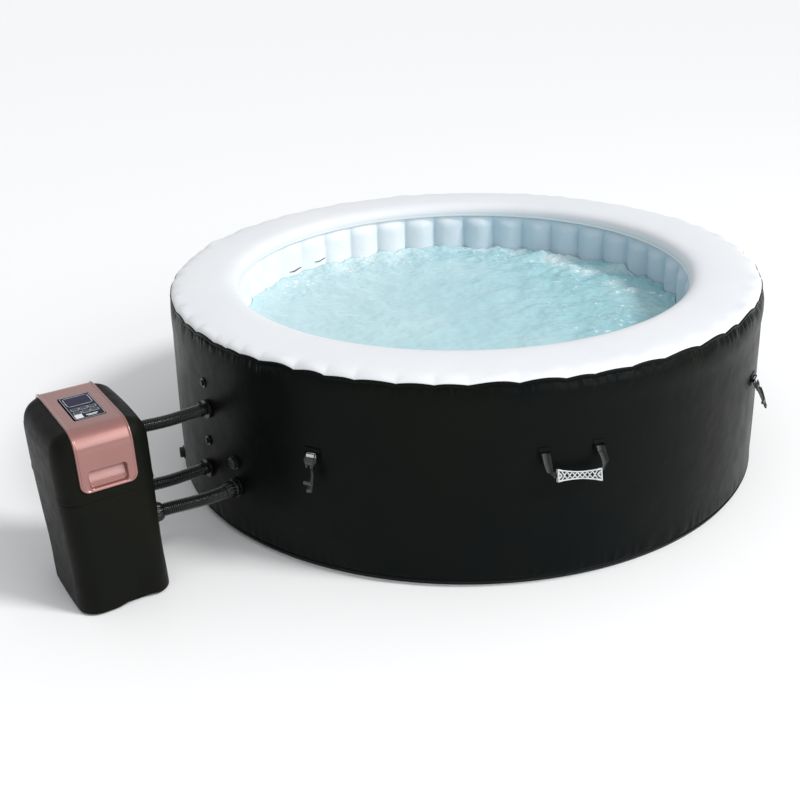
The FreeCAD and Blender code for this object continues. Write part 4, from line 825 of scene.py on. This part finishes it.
BAND_X = -1.415
BAND_HALF = 0.080
BAND_CORNER = 0.026
BAND_RISE = 0.0040
PUMP_FRONT, PUMP_BACK, PUMP_TOP = -0.352, 0.020, 0.552
BAND_BOTTOM, BAND_BACK_BOTTOM = 0.382, 0.490
CASING_ROUND = 0.056
FRONT_RUN = PUMP_TOP - CASING_ROUND - BAND_BOTTOM
TOP_RUN = PUMP_BACK - PUMP_FRONT - 2 * CASING_ROUND
BEND_RUN = CASING_ROUND * math.pi / 2
BACK_RUN = PUMP_TOP - CASING_ROUND - BAND_BACK_BOTTOM
# The grip cup: its middle along the band, half sizes and corner.
CUP_MIDDLE, CUP_HALF_X, CUP_HALF_S, CUP_CORNER = 0.0365, 0.054, 0.028, 0.011
CUP_ROWS_END = 0.078
# The panel sits in a flat seat, and the band is open below most of it.
SEAT_Y, SEAT_HALF = (-0.2602, -0.0918), 0.0432
HOLE_Y, HOLE_X = (-0.2560, -0.0960), (-0.0360, 0.0420)
CROWN_HEIGHT = 0.55


def band_frame(s):
    """The casing's point and outward direction in the (y, z) plane, s up from the front's foot."""
    if s < FRONT_RUN:
        return (PUMP_FRONT, BAND_BOTTOM + s), (-1.0, 0.0)
    s -= FRONT_RUN
    if s < BEND_RUN:
        a = s / CASING_ROUND
        out = (-math.cos(a), math.sin(a))
        centre = (PUMP_FRONT + CASING_ROUND, PUMP_TOP - CASING_ROUND)
        return (centre[0] + CASING_ROUND * out[0], centre[1] + CASING_ROUND * out[1]), out
    s -= BEND_RUN
    if s < TOP_RUN:
        return (PUMP_FRONT + CASING_ROUND + s, PUMP_TOP), (0.0, 1.0)
    s -= TOP_RUN
    if s < BEND_RUN:
        a = s / CASING_ROUND
        out = (math.sin(a), math.cos(a))
        centre = (PUMP_BACK - CASING_ROUND, PUMP_TOP - CASING_ROUND)
        return (centre[0] + CASING_ROUND * out[0], centre[1] + CASING_ROUND * out[1]), out
    s -= BEND_RUN
    return (PUMP_BACK, PUMP_TOP - CASING_ROUND - s), (1.0, 0.0)


def rounded_distance(x, y, half_x, half_y, corner):
    """Distance inside a rounded rectangle's edge; negative outside it."""
    qx, qy = abs(x) - half_x + corner, abs(y) - half_y + corner
    outside = math.hypot(max(qx, 0), max(qy, 0))
    return corner - outside - min(max(qx, qy), 0)


def band_height(x, s, total):
    """How far the band stands above the casing at this place."""
    middle = total / 2
    inside = rounded_distance(x, s - middle, BAND_HALF, middle, BAND_CORNER)
    height = BAND_RISE
    height += 0.0022 * float(ramp(0.0072, 0.0052, inside)) if inside < 0.0072 else 0
    height -= 0.0045 * (1 - float(ramp(0.0, 0.0018, inside)))
    recess = rounded_distance(x, s - CUP_MIDDLE, CUP_HALF_X, CUP_HALF_S, CUP_CORNER)
    if recess > -0.004:
        lip = math.exp(-((recess + 0.0018) / 0.0016) ** 2)
        below = float(ramp(0.030, 0.012, s)) if s < 0.030 else 0.0
        height += 0.0011 * lip * (0.35 + 0.65 * below)
    if recess > 0:
        fall = float(ramp(0.0, 0.0042, recess))
        depth = 0.011 + 0.014 * float(ramp(0.014, 0.058, s))
        height -= depth * fall
    return height


def add_band():
    """The rose strip over the casing, with its grip cup and a hole under the panel."""
    total = FRONT_RUN + TOP_RUN + BACK_RUN + 2 * BEND_RUN
    stations = np.concatenate([np.arange(0, CUP_ROWS_END, 0.001),
                               np.linspace(CUP_ROWS_END, total, 230)])
    across = np.linspace(-1, 1, 131)
    outer, inner, holed = [], [], []
    for s in stations:
        edge = min(s, total - s)
        half = BAND_HALF
        if edge < BAND_CORNER:
            cut = max(0, BAND_CORNER ** 2 - (BAND_CORNER - edge) ** 2)
            half = BAND_HALF - BAND_CORNER + math.sqrt(cut)
        (y, z), (oy, oz) = band_frame(float(s))
        for k in across:
            x = k * half
            height = band_height(x, s, total)
            if SEAT_Y[0] < y < SEAT_Y[1] and abs(x) < SEAT_HALF and z > CROWN_HEIGHT:
                height = -0.0005
            sink = min(-0.0026, height - 0.0016)
            holed.append(HOLE_Y[0] < y < HOLE_Y[1] and HOLE_X[0] < x < HOLE_X[1]
                         and z > CROWN_HEIGHT)
            outer.append((BAND_X + x, y + oy * height, z + oz * height))
            inner.append((BAND_X + x, y + oy * sink, z + oz * sink))
    rows, columns = len(stations), len(across)
    holed = np.array(holed).reshape(rows, columns)
    kept = ~(holed[:-1] & holed[1:] & np.roll(holed[:-1], -1, 1))
    kept[:, -1] = False
    piece = thick_sheet("band_cover", np.array(outer).reshape(rows, columns, 3),
                        np.array(inner).reshape(rows, columns, 3), kept)
    return add_piece(piece, rose_gold, "tub", "rose_gold", "pump_band", "pump_grip_cup")


add_band()


# ---- carry handles and lid straps ----

def hung(angle, pivot_x, pivot_z, tilt):
    """The frame of a hanging strap: X away from the wall, Y along it, Z up the strap."""
    turn = Matrix.Rotation(math.radians(angle), 4, "Z")
    lean = Matrix.Rotation(math.radians(-tilt), 4, "Y")
    return turn @ Matrix.Translation((pivot_x, 0, pivot_z)) @ lean


def rounded_bar(mesh, start, end, width, depth, bevel):
    """A bevelled bar from start to end in the frame's YZ plane; depth is its size along X."""
    (y0, z0), (y1, z1) = start, end
    length = math.hypot(y1 - y0, z1 - z0)
    turn = Matrix.Rotation(math.atan2(z1 - z0, y1 - y0), 4, "X")
    place = Matrix.Translation((0, (y0 + y1) / 2, (z0 + z1) / 2)) @ turn
    sizes = Matrix.Diagonal((depth, length, width, 1))
    made = bmesh.ops.create_cube(mesh, size=1, matrix=place @ sizes)
    edges = list({edge for vert in made["verts"] for edge in vert.link_edges})
    bmesh.ops.bevel(mesh, geom=edges, offset=bevel, segments=2, affect="EDGES")


def finished_bmesh(name, mesh, frame_matrix):
    """An object made of a bmesh moved into its frame, with sharp edges kept sharp."""
    mesh.transform(frame_matrix)
    data = bpy.data.meshes.new(name)
    bmesh.ops.recalc_face_normals(mesh, faces=mesh.faces)
    mesh.to_mesh(data)
    mesh.free()
    data.shade_smooth()
    data.set_sharp_from_angle(angle=math.radians(35))
    return linked(name, data)


def ribbon(name, path, across, width, thickness, frame_matrix):
    """A closed strip: path points, the unit direction across it at each point, and its sizes."""
    path, across = np.asarray(path, float), np.asarray(across, float)
    along = np.gradient(path, axis=0)
    along /= np.linalg.norm(along, axis=1)[:, None]
    normal = np.cross(along, across)
    normal /= np.linalg.norm(normal, axis=1)[:, None]
    half_w = np.broadcast_to(np.asarray(width, float) / 2, (len(path),))[:, None]
    rows = []
    edge = thickness * 0.35
    for w, t in ((-1, -1), (1, -1), (1, 1), (-1, 1)):
        for inset in ((1, 0), (0, 1)) if w * t > 0 else ((0, 1), (1, 0)):
            rows.append(path + across * w * (half_w - edge * inset[0])
                        + normal * t * (thickness / 2 - edge * inset[1]))
    points = np.stack(rows, 1)
    count, sides = points.shape[:2]
    centres = np.stack([points[0].mean(0), points[-1].mean(0)])
    flat = np.concatenate([points.reshape(-1, 3), centres])
    placed = [tuple(frame_matrix @ Vector(point)) for point in flat]
    return mesh_piece(name, placed, capped_quads(count, sides))


def smooth_path(knots, count):
    """Points along a smooth curve through a few knots."""
    knots = np.asarray(knots, float)
    lengths = np.concatenate([[0], np.cumsum(np.linalg.norm(np.diff(knots, axis=0), axis=1))])
    wanted = np.linspace(0, lengths[-1], count)
    path = np.stack([np.interp(wanted, lengths, knots[:, k]) for k in range(knots.shape[1])], 1)
    for _ in range(count // 3):
        path[1:-1] = (path[:-2] + 2 * path[1:-1] + path[2:]) / 4
    return path


HANDLES = {1: -108, 2: 72}
HANDLE_PIVOT = 1.01756
HANDLE_HEIGHT = 0.418
HANDLE_TILT = 27
GRIP_HALF = 0.064
GRIP_DROP = -0.070
GRIP_SHIFT = 0.008
GRIP_TURN = -0.115
GRIP_CELLS = 7
GRIP_COLLAR = 0.012
STRAP_Y = 0.080
PIN_LOOP = 0.0045


def pin_loop(y):
    """The points of a strap that passes round its pin, from the back over the top."""
    return [(PIN_LOOP * math.cos(a), y, PIN_LOOP * math.sin(a))
            for a in np.radians(range(200, -41, -40))]


def grip_half_height(y):
    """Half the grip's height, which grows from its middle towards its ends."""
    return 0.0105 + 0.0065 * min(1.0, abs(y) / GRIP_HALF) ** 1.6

def add_grip(index, frame_matrix):
    """A pale open lattice, narrow in the middle, between two flared end collars."""
    mesh = bmesh.new()
    inner_end = GRIP_HALF - GRIP_COLLAR
    tall, inner_tall = grip_half_height(GRIP_HALF), grip_half_height(inner_end)
    stops = np.linspace(-inner_end, inner_end, GRIP_CELLS + 1)
    for side in (-1, 1):
        for y0, y1 in zip(stops[:-1], stops[1:]):
            rounded_bar(mesh, (y0 - 0.001, side * (grip_half_height(y0) - 0.0016)),
                        (y1 + 0.001, side * (grip_half_height(y1) - 0.0016)), 0.0032, 0.012, 0.0007)
        outer = side * (GRIP_HALF - 0.0015)
        rounded_bar(mesh, (outer, -tall - 0.001), (outer, tall + 0.001), 0.004, 0.015, 0.0010)
        for flare in (-1, 1):
            rounded_bar(mesh, (side * (inner_end - 0.001), flare * (inner_tall - 0.002)),
                        (outer, flare * (tall - 0.0015)), 0.0045, 0.013, 0.0008)
            rounded_bar(mesh, (side * inner_end, 0), (outer, flare * 0.010), 0.0035, 0.011, 0.0007)
    for y0, y1 in zip(stops[:-1], stops[1:]):
        for rise in (-1, 1):
            rounded_bar(mesh, (y0, -rise * (grip_half_height(y0) - 0.003)),
                        (y1, rise * (grip_half_height(y1) - 0.003)), 0.0026, 0.0085, 0.0005)
    set_in = Matrix.Translation((0, GRIP_SHIFT, GRIP_DROP)) @ Matrix.Rotation(GRIP_TURN, 4, "X")
    piece = finished_bmesh("grip_lattice_%d" % index, mesh, frame_matrix @ set_in)
    add_piece(piece, grip_plastic, "handle_%d" % index, "grip_plastic", "handle_grip_%d" % index)


def add_handle_straps(index, frame_matrix):
    """Two webbing straps that loop round their pins and curve into the ends of the grip."""
    pieces = []
    for side in (-1, 1):
        grip_end = (side * (GRIP_HALF - 0.002) + GRIP_SHIFT,
                    GRIP_DROP + side * (GRIP_HALF - 0.002) * GRIP_TURN)
        bow = 0.010 if side * GRIP_SHIFT > 0 else -0.004
        loop = pin_loop(side * STRAP_Y)
        fall = [(0.0035, side * STRAP_Y, -0.010), (0.0010, side * (STRAP_Y + bow * 0.6), -0.028),
                (0, side * (STRAP_Y + bow), -0.045),
                (0, side * (STRAP_Y - 0.004 + bow * 0.5), -0.060),
                (0, grip_end[0] + side * 0.006, grip_end[1] + 0.003),
                (0, grip_end[0] - side * 0.002, grip_end[1])]
        path = smooth_path(loop + fall, 46)
        slope = np.gradient(path, axis=0)
        across = np.stack([np.zeros(len(path)), np.abs(slope[:, 2]) + 1e-6,
                           np.sign(slope[:, 2]) * slope[:, 1]], 1)
        across /= np.linalg.norm(across, axis=1)[:, None]
        t = np.linspace(0, 1, len(path))
        across = np.where(t[:, None] < 0.3, (0, 1, 0), across)
        width = 0.024 - 0.008 * ramp(0.35, 0.8, t)
        pieces.append(ribbon("strap_side", path, across, width, 0.0025, frame_matrix))
    strap = joined("webbing_straps_%d" % index, pieces)
    add_piece(strap, webbing, "handle_%d" % index, "webbing", "handle_strap_%d" % index)


def joined(name, pieces):
    """One object holding all of these meshes."""
    mesh = bmesh.new()
    for piece in pieces:
        mesh.from_mesh(piece.data)
        data = piece.data
        bpy.data.objects.remove(piece)
        bpy.data.meshes.remove(data)
    data = bpy.data.meshes.new(name)
    mesh.to_mesh(data)
    mesh.free()
    return linked(name, data)


for handle_index, handle_angle in HANDLES.items():
    handle_frame = hung(handle_angle, HANDLE_PIVOT, HANDLE_HEIGHT, HANDLE_TILT)
    add_grip(handle_index, handle_frame)
    add_handle_straps(handle_index, handle_frame)


LID_ANGLES = {1: -150, 2: -60, 3: 30, 4: 120}
LID_PIVOT = 1.02219
LID_HEIGHT = 0.385
LID_TILT = 24


def add_lid_strap(index, frame_matrix):
    """A looped strap, a side-release buckle at its top, and a slim strap with a bar and tail."""
    path = smooth_path(pin_loop(0) + [(0.0035, 0, -0.012)], 18)
    across = np.tile((0.0, 1.0, 0.0), (len(path), 1))
    loop = ribbon("loop", path, across, 0.030, 0.0025, frame_matrix)
    knots = [(0, 0.008, -0.036), (0.0005, 0.012, -0.050), (0, 0.0145, -0.066),
             (0, 0.012, -0.083), (-0.001, 0.013, -0.102)]
    path = smooth_path(knots, 24)
    twist = np.linspace(0.9, 0.1, len(path))
    across = np.stack([np.sin(twist), np.cos(twist), np.zeros(len(path))], 1)
    slim = ribbon("slim", path, across, 0.018, 0.0022, frame_matrix)
    strap = joined("lid_webbing_%d" % index, [loop, slim])
    add_piece(strap, webbing, "lid_catch_%d" % index, "webbing", "lid_strap_%d" % index)
    # The buckle's top bar is pale plastic; its pallor is partly painted highlight, for the glint
    # along its top edge.
    mesh = bmesh.new()
    rounded_bar(mesh, (-0.0160, -0.0045), (0.0160, -0.0030), 0.0160, 0.0110, 0.0036)
    piece = finished_bmesh("lid_buckle_bar_%d" % index, mesh, frame_matrix)
    add_piece(piece, grip_plastic, "lid_catch_%d" % index, "webbing")
    mesh = bmesh.new()
    rounded_bar(mesh, (0, -0.0080), (0, -0.0310), 0.030, 0.0110, 0.0025)
    for side in (-1, 1):
        rounded_bar(mesh, (side * 0.0145, -0.008), (side * 0.0165, -0.024), 0.005, 0.010, 0.0016)
        rounded_bar(mesh, (side * 0.009, -0.028), (side * 0.007, -0.040), 0.006, 0.009, 0.0016)
    for y in (-0.009, -0.003, 0.003, 0.009):
        rounded_bar(mesh, (y, -0.007), (y, -0.024), 0.0022, 0.0134, 0.0007)
    rounded_bar(mesh, (-0.0105, -0.0830), (0.0215, -0.0830), 0.0100, 0.0080, 0.0022)
    rounded_bar(mesh, (0.004, -0.1040), (0.021, -0.1010), 0.0100, 0.0060, 0.0016)
    piece = finished_bmesh("lid_buckle_%d" % index, mesh, frame_matrix)
    add_piece(piece, buckle_plastic, "lid_catch_%d" % index, "webbing")


for lid_index, lid_angle in LID_ANGLES.items():
    add_lid_strap(lid_index, hung(lid_angle, LID_PIVOT, LID_HEIGHT, LID_TILT))


# ---- pump casing ----

CASING_X = (-1.545, -1.285)
CASING_MIDDLE_Y = -0.166
SKIN = 0.003
CASING_COLUMNS = 240
FRONT_CORNER = 0.056
REAR_RIGHT_CORNER = 0.066
SIDE_ROUND = 0.072
SIDE_INSET = 0.060
SIDE_POWER = 2.4
REAR_CORNER = 0.080
FOOT_CORNER = 0.125
ARCH_X = -1.385
ARCH_HALF = 0.060
ARCH_RISE = 0.009
TOP_OPENING_X, TOP_OPENING_Y = (-1.452, -1.372), (-0.257, -0.095)
# The opening behind the grip cup: half its width, its back and its bottom.
CUP_WINDOW_HALF, CUP_WINDOW_Y, CUP_WINDOW_BOTTOM = 0.068, -0.292, 0.388

def casing_outline(inset_x, inset_y, bow, foot):
    """The casing in plan: a rounded rectangle with softly bowed sides, drawn in by the insets.

    foot is 1 at the floor and 0 higher up: it rounds the rear corner and pushes out the front.
    """
    low_x, high_x = CASING_X[0] + inset_x, CASING_X[1] - inset_x
    low_y, high_y = PUMP_FRONT + inset_y, PUMP_BACK - inset_y
    corners = ((high_x, low_y, FRONT_CORNER, -90), (high_x, high_y, REAR_RIGHT_CORNER, 0),
               (low_x, high_y, REAR_CORNER + (FOOT_CORNER - REAR_CORNER) * foot, 90),
               (low_x, low_y, FRONT_CORNER, 180))
    spots = []
    share = CASING_COLUMNS // 8
    for x, y, radius, start in corners:
        rx, ry = max(radius - inset_x, 0.0001), max(radius - inset_y, 0.0001)
        cx = x - rx if x > BAND_X else x + rx
        cy = y - ry if y > CASING_MIDDLE_Y else y + ry
        arc = [(cx + rx * math.cos(a), cy + ry * math.sin(a))
               for a in np.radians(np.linspace(start, start + 90, share))]
        spots.append(arc)
    outline = []
    for index, arc in enumerate(spots):
        outline += arc
        a, b = np.array(arc[-1]), np.array(spots[(index + 1) % 4][0])
        outline += [tuple(a + (b - a) * t) for t in np.linspace(0, 1, share + 2)[1:-1]]
    outline = np.array(outline)
    middle = np.clip(1 - ((outline[:, 1] - CASING_MIDDLE_Y) / 0.186) ** 2, 0, 1)
    side = ramp(0.070, 0.125, np.abs(outline[:, 0] - BAND_X)) * np.sign(outline[:, 0] - BAND_X)
    outline[:, 0] += bow * middle * side
    front = ramp(-0.230, -0.330, outline[:, 1])
    beside = np.abs(outline[:, 0] - ARCH_X) / 0.075
    outline[:, 1] -= 0.0100 * foot ** 2 * front * np.clip(0.25 + 0.75 * beside, 0, 1)
    return outline


def casing_rows(levels, shrink):
    """Rows of points up the casing; shrink draws every row inwards by the skin's thickness."""
    rows = []
    for z, bow, grow in levels:
        t = min(1.0, max(0.0, (z - (PUMP_TOP - CASING_ROUND)) / CASING_ROUND))
        inset = CASING_ROUND * (1 - math.sqrt(max(0.0, 1 - t * t)))
        t_x = min(1.0, max(0.0, (z - (PUMP_TOP - SIDE_ROUND)) / SIDE_ROUND))
        inset_x = SIDE_INSET * (1 - max(0.0, 1 - t_x ** SIDE_POWER) ** (1 / SIDE_POWER))
        foot = 1 - float(ramp(0.0, 0.24, z))
        outline = casing_outline(inset_x + shrink - grow, inset + shrink - grow, bow, foot)
        front = ramp(-0.325, -0.345, outline[:, 1]) if z < 0.03 else np.zeros(len(outline))
        arch = np.clip(1 - ((outline[:, 0] - ARCH_X) / ARCH_HALF) ** 2, 0, 1) ** 1.3
        lift = ARCH_RISE * arch * front * (1 - (z - 0.004) / 0.026)
        rows.append(np.column_stack([outline, np.minimum(z + lift, PUMP_TOP - shrink)]))
    return rows


def bow_at(z):
    """How far the casing's sides swell at a height."""
    foot = 0.0045 * (1 - float(ramp(0.02, 0.14, z)))
    upper = 0.0095 * float(ramp(0.14, 0.42, z)) - 0.0040 * float(ramp(0.46, 0.552, z))
    return 0.0020 + foot + upper


def add_lower_housing():
    """The casing's lower shell, from the floor up to the split line."""
    heights = [0.004, 0.0045, 0.0065, 0.010, 0.016, 0.024, 0.03] + list(np.linspace(0.05, 0.33, 12))
    levels = [(z, bow_at(z), -0.0025 * (1 - min(1.0, (z - 0.004) / 0.0025)) ** 2) for z in heights]
    levels += [(0.345, bow_at(0.345), 0.0), (0.3490, bow_at(0.35), -0.0002),
               (0.3505, bow_at(0.35), -0.0014)]
    outer = np.array(casing_rows(levels, 0.0))
    inner = np.array(casing_rows(levels, SKIN))
    kept = np.ones((len(levels) - 1, outer.shape[1]), bool)
    piece = thick_sheet("lower_casing", outer, inner, kept)
    return add_piece(piece, casing, "tub", "casing_plastic", "pump_lower_housing")


def hood_grid(shrink):
    """Rows of points from the split line over the rounded top to the panel's opening."""
    levels = [(0.3512, bow_at(0.351), 0.0002), (0.3522, bow_at(0.352), 0.0014),
              (0.3540, bow_at(0.354), 0.0018), (0.3600, bow_at(0.36), 0.0012),
              (0.3700, bow_at(0.37), 0.0)]
    levels += [(z, bow_at(z), 0.0) for z in np.linspace(0.380, 0.496, 12)]
    levels += [(PUMP_TOP - CASING_ROUND + CASING_ROUND * math.sin(a), bow_at(0.52), 0.0)
               for a in np.radians(np.linspace(5, 90, 22))]
    rows = casing_rows(levels, shrink)
    rim = rows[-1]
    hole = np.column_stack([np.clip(rim[:, 0], *TOP_OPENING_X), np.clip(rim[:, 1], *TOP_OPENING_Y),
                            rim[:, 2]])
    rows += [rim + (hole - rim) * t for t in (0.25, 0.5, 0.75, 1.0)]
    return np.array(rows)


def add_hood():
    """The casing's hood, open at the panel and behind the grip cup."""
    outer, inner = hood_grid(0.0), hood_grid(SKIN)
    centre = (outer[:-1] + np.roll(outer[:-1], -1, 1) + outer[1:] + np.roll(outer[1:], -1, 1)) / 4
    window = ((np.abs(centre[..., 0] - BAND_X) < CUP_WINDOW_HALF)
              & (centre[..., 1] < CUP_WINDOW_Y) & (centre[..., 2] > CUP_WINDOW_BOTTOM))
    piece = thick_sheet("hood_casing", outer, inner, ~window)
    return add_piece(piece, casing, "tub", "casing_plastic", "pump_hood")


def add_base_tray():
    """The base plate again, with its rear corner drawn in to stay inside the casing's foot."""
    plate_node = nodes["pump_base_plate"]
    data = plate_node.data.copy()
    data.materials.clear()
    corner = FOOT_CORNER - 0.004
    centre_x, centre_y = CASING_X[0] + FOOT_CORNER, PUMP_BACK - FOOT_CORNER
    for vertex in data.vertices:
        point = plate_node.matrix_world @ vertex.co
        off_x, off_y = point.x - centre_x, point.y - centre_y
        away = math.hypot(off_x, off_y)
        if off_x < 0 < off_y and away > corner:
            point.x = centre_x + off_x * corner / away
            point.y = centre_y + off_y * corner / away
        vertex.co = point
    piece = linked("base_tray", data)
    return add_piece(piece, casing, "tub", "casing_plastic", "pump_base_plate")


add_lower_housing()
add_hood()
add_base_tray()


# ---- control panel marks ----

PANEL_TOP = 0.5565
PANEL_X = -1.412
KEY_STEP_X, KEY_STEP_Y = 0.024, 0.026
KEY_PLACES = [(PANEL_X + column * KEY_STEP_X, -0.190 - row * KEY_STEP_Y)
              for column in (-1, 0, 1) for row in (0, 1)]
# Each outline: x, y, half sizes, corner radius and line width. Each plate: x, y and half sizes.
DISPLAY_OUTLINE = (PANEL_X, -0.134, 0.0341, 0.0301, 0.009, 0.0016)
PANEL_OUTLINE = (PANEL_X, -0.176, 0.0405, 0.0815, 0.008, 0.0009)
KEY_OUTLINE = (0.0096, 0.0082, 0.003, 0.0012)
LABEL_PLATES = ((-1.439, -0.2395, 0.0105, 0.0125), (-1.4035, -0.2400, 0.016, 0.0022),
                (-1.4035, -0.2470, 0.012, 0.0016))


def outline_ring(x, y, half_x, half_y, corner, width, low, high):
    """A raised rounded rectangle line: its points and quads."""
    loops = []
    for grow, z in ((width, low), (width, high), (0, high), (0, low)):
        radius = corner + grow
        loop = []
        for cx, cy, start in ((1, 1, 0), (-1, 1, 90), (-1, -1, 180), (1, -1, 270)):
            for a in np.radians(np.linspace(start, start + 90, 8)):
                loop.append((x + cx * (half_x - corner) + radius * math.cos(a),
                             y + cy * (half_y - corner) + radius * math.sin(a), z))
        loops.append(loop)
    return np.array(loops).reshape(-1, 3), grid_quads(4, len(loops[0]), True, True)


def gathered(parts):
    """Points and quads of several parts as one."""
    points, quads, start = [], [], 0
    for part_points, part_quads in parts:
        points.append(part_points)
        quads.append(part_quads + start)
        start += len(part_points)
    return np.concatenate(points), np.concatenate(quads)


def plate(x, y, half_x, half_y, low, high):
    """A flat box: its points and quads."""
    corners = [(x + a * half_x, y + b * half_y, z) for z in (low, high)
               for a, b in ((-1, -1), (1, -1), (1, 1), (-1, 1))]
    quads = [(3, 2, 1, 0), (4, 5, 6, 7), (0, 1, 5, 4), (1, 2, 6, 5), (2, 3, 7, 6), (3, 0, 4, 7)]
    return np.array(corners), np.array(quads)


def add_panel_marks():
    """Pale outlines round the display, the panel and the keys, and a label without lettering."""
    low, high = PANEL_TOP - 0.0002, PANEL_TOP + 0.0004
    parts = [outline_ring(*DISPLAY_OUTLINE, low, high), outline_ring(*PANEL_OUTLINE, low, high)]
    parts += [outline_ring(*place, *KEY_OUTLINE, low, high) for place in KEY_PLACES]
    marks = mesh_piece("panel_outlines", *gathered(parts), flat=True)
    add_piece(marks, silver_ink, "tub", "panel_plastic")
    parts = [plate(*sizes, low, high) for sizes in LABEL_PLATES]
    label = mesh_piece("panel_label", *gathered(parts), flat=True)
    add_piece(label, label_film, "tub", "panel_plastic")


add_panel_marks()


# ---- painted shade strokes above the water ----

# Each stroke of painted shade: the angles in degrees where it starts and ends, and its height.
SHADE_STROKES = ((109.0, 114.6, 0.4925), (99.2, 104.2, 0.4975))
MARK_COLUMNS = 60
MARK_CORNERS = ((0.0, -1), (0.0, 1), (-0.0042, 0.6), (-0.0042, -0.6))


def add_shade_strokes():
    """Two thin dark strokes with pointed ends on the far inner wall, painted shade just above the
    water.
    """
    parts = []
    for start, end, height in SHADE_STROKES:
        angles = np.radians(np.linspace(start, end, MARK_COLUMNS))
        t = np.linspace(0, 1, MARK_COLUMNS)
        half = 0.0006 + 0.0020 * np.sin(math.pi * t) ** 0.6
        z = height + 0.0015 * np.sin(7 * t)
        radius = inner_radius(angles, height) + 0.0010
        loops = []
        for out, lift in MARK_CORNERS:
            r = radius + out
            loops.append(np.column_stack([r * np.cos(angles), r * np.sin(angles), z + half * lift]))
        points = np.stack(loops, 1).reshape(-1, 3)
        sides = len(MARK_CORNERS)
        ends = np.array([range(sides - 1, -1, -1), range(len(points) - sides, len(points))])
        parts.append((points, np.concatenate([grid_quads(MARK_COLUMNS, sides, False, True), ends])))
    piece = mesh_piece("painted_shade_strokes", *gathered(parts))
    add_piece(piece, shade_stroke_finish, "tub", "inner_pvc")


add_shade_strokes()


# ---- floor and light ----

FLOOR_HALF = 30.0
FLOOR_HEIGHT = -0.001
TO_SUN = (0.47, -0.53, 0.69)
SUN_STRENGTH, SUN_ANGLE = 1.7, 14
SOFTBOX_PLACE = (1.6, -5.5, 3.3)
SOFTBOX_SIZE = (5.5, 3.2)
SOFTBOX_POWER = 140
SKY_COLOUR = (0.97, 0.985, 1.0, 1)
SKY_STRENGTH = 0.62


def add_floor():
    """A wide white floor, which is part of the set and not of the object."""
    mesh = bpy.data.meshes.new("floor")
    mesh.from_pydata([(x * FLOOR_HALF, y * FLOOR_HALF, FLOOR_HEIGHT)
                      for x, y in ((-1, -1), (1, -1), (1, 1), (-1, 1))], [], [(0, 1, 2, 3)])
    floor = linked("floor", mesh)
    material, _, shader = new_material("floor")
    set_inputs(shader, {"Base Color": (0.95, 0.95, 0.95, 1), "Roughness": 0.9,
                        "Specular IOR Level": 0.1})
    mesh.materials.append(material)


def aimed_lamp(name, data, place):
    """A lamp that shines from its place towards the middle of the floor."""
    lamp = linked(name, data)
    lamp.rotation_mode = "QUATERNION"
    lamp.rotation_quaternion = Vector(place).to_track_quat("Z", "Y")
    return lamp


def add_sun():
    """The main light, from the right on the camera's side."""
    data = bpy.data.lights.new("sun", "SUN")
    data.energy = SUN_STRENGTH
    data.angle = math.radians(SUN_ANGLE)
    aimed_lamp("sun", data, TO_SUN)


def add_softbox():
    """A wide soft light in front, whose reflection shows along the bulge under the seam."""
    data = bpy.data.lights.new("softbox", "AREA")
    data.shape = "RECTANGLE"
    data.size, data.size_y = SOFTBOX_SIZE
    data.energy = SOFTBOX_POWER
    aimed_lamp("softbox", data, SOFTBOX_PLACE).location = SOFTBOX_PLACE


add_floor()
add_sun()
add_softbox()

world = bpy.data.worlds.new("studio")
world.use_nodes = True
background = world.node_tree.nodes["Background"]
set_inputs(background, {"Color": SKY_COLOUR, "Strength": SKY_STRENGTH})
scene.world = world
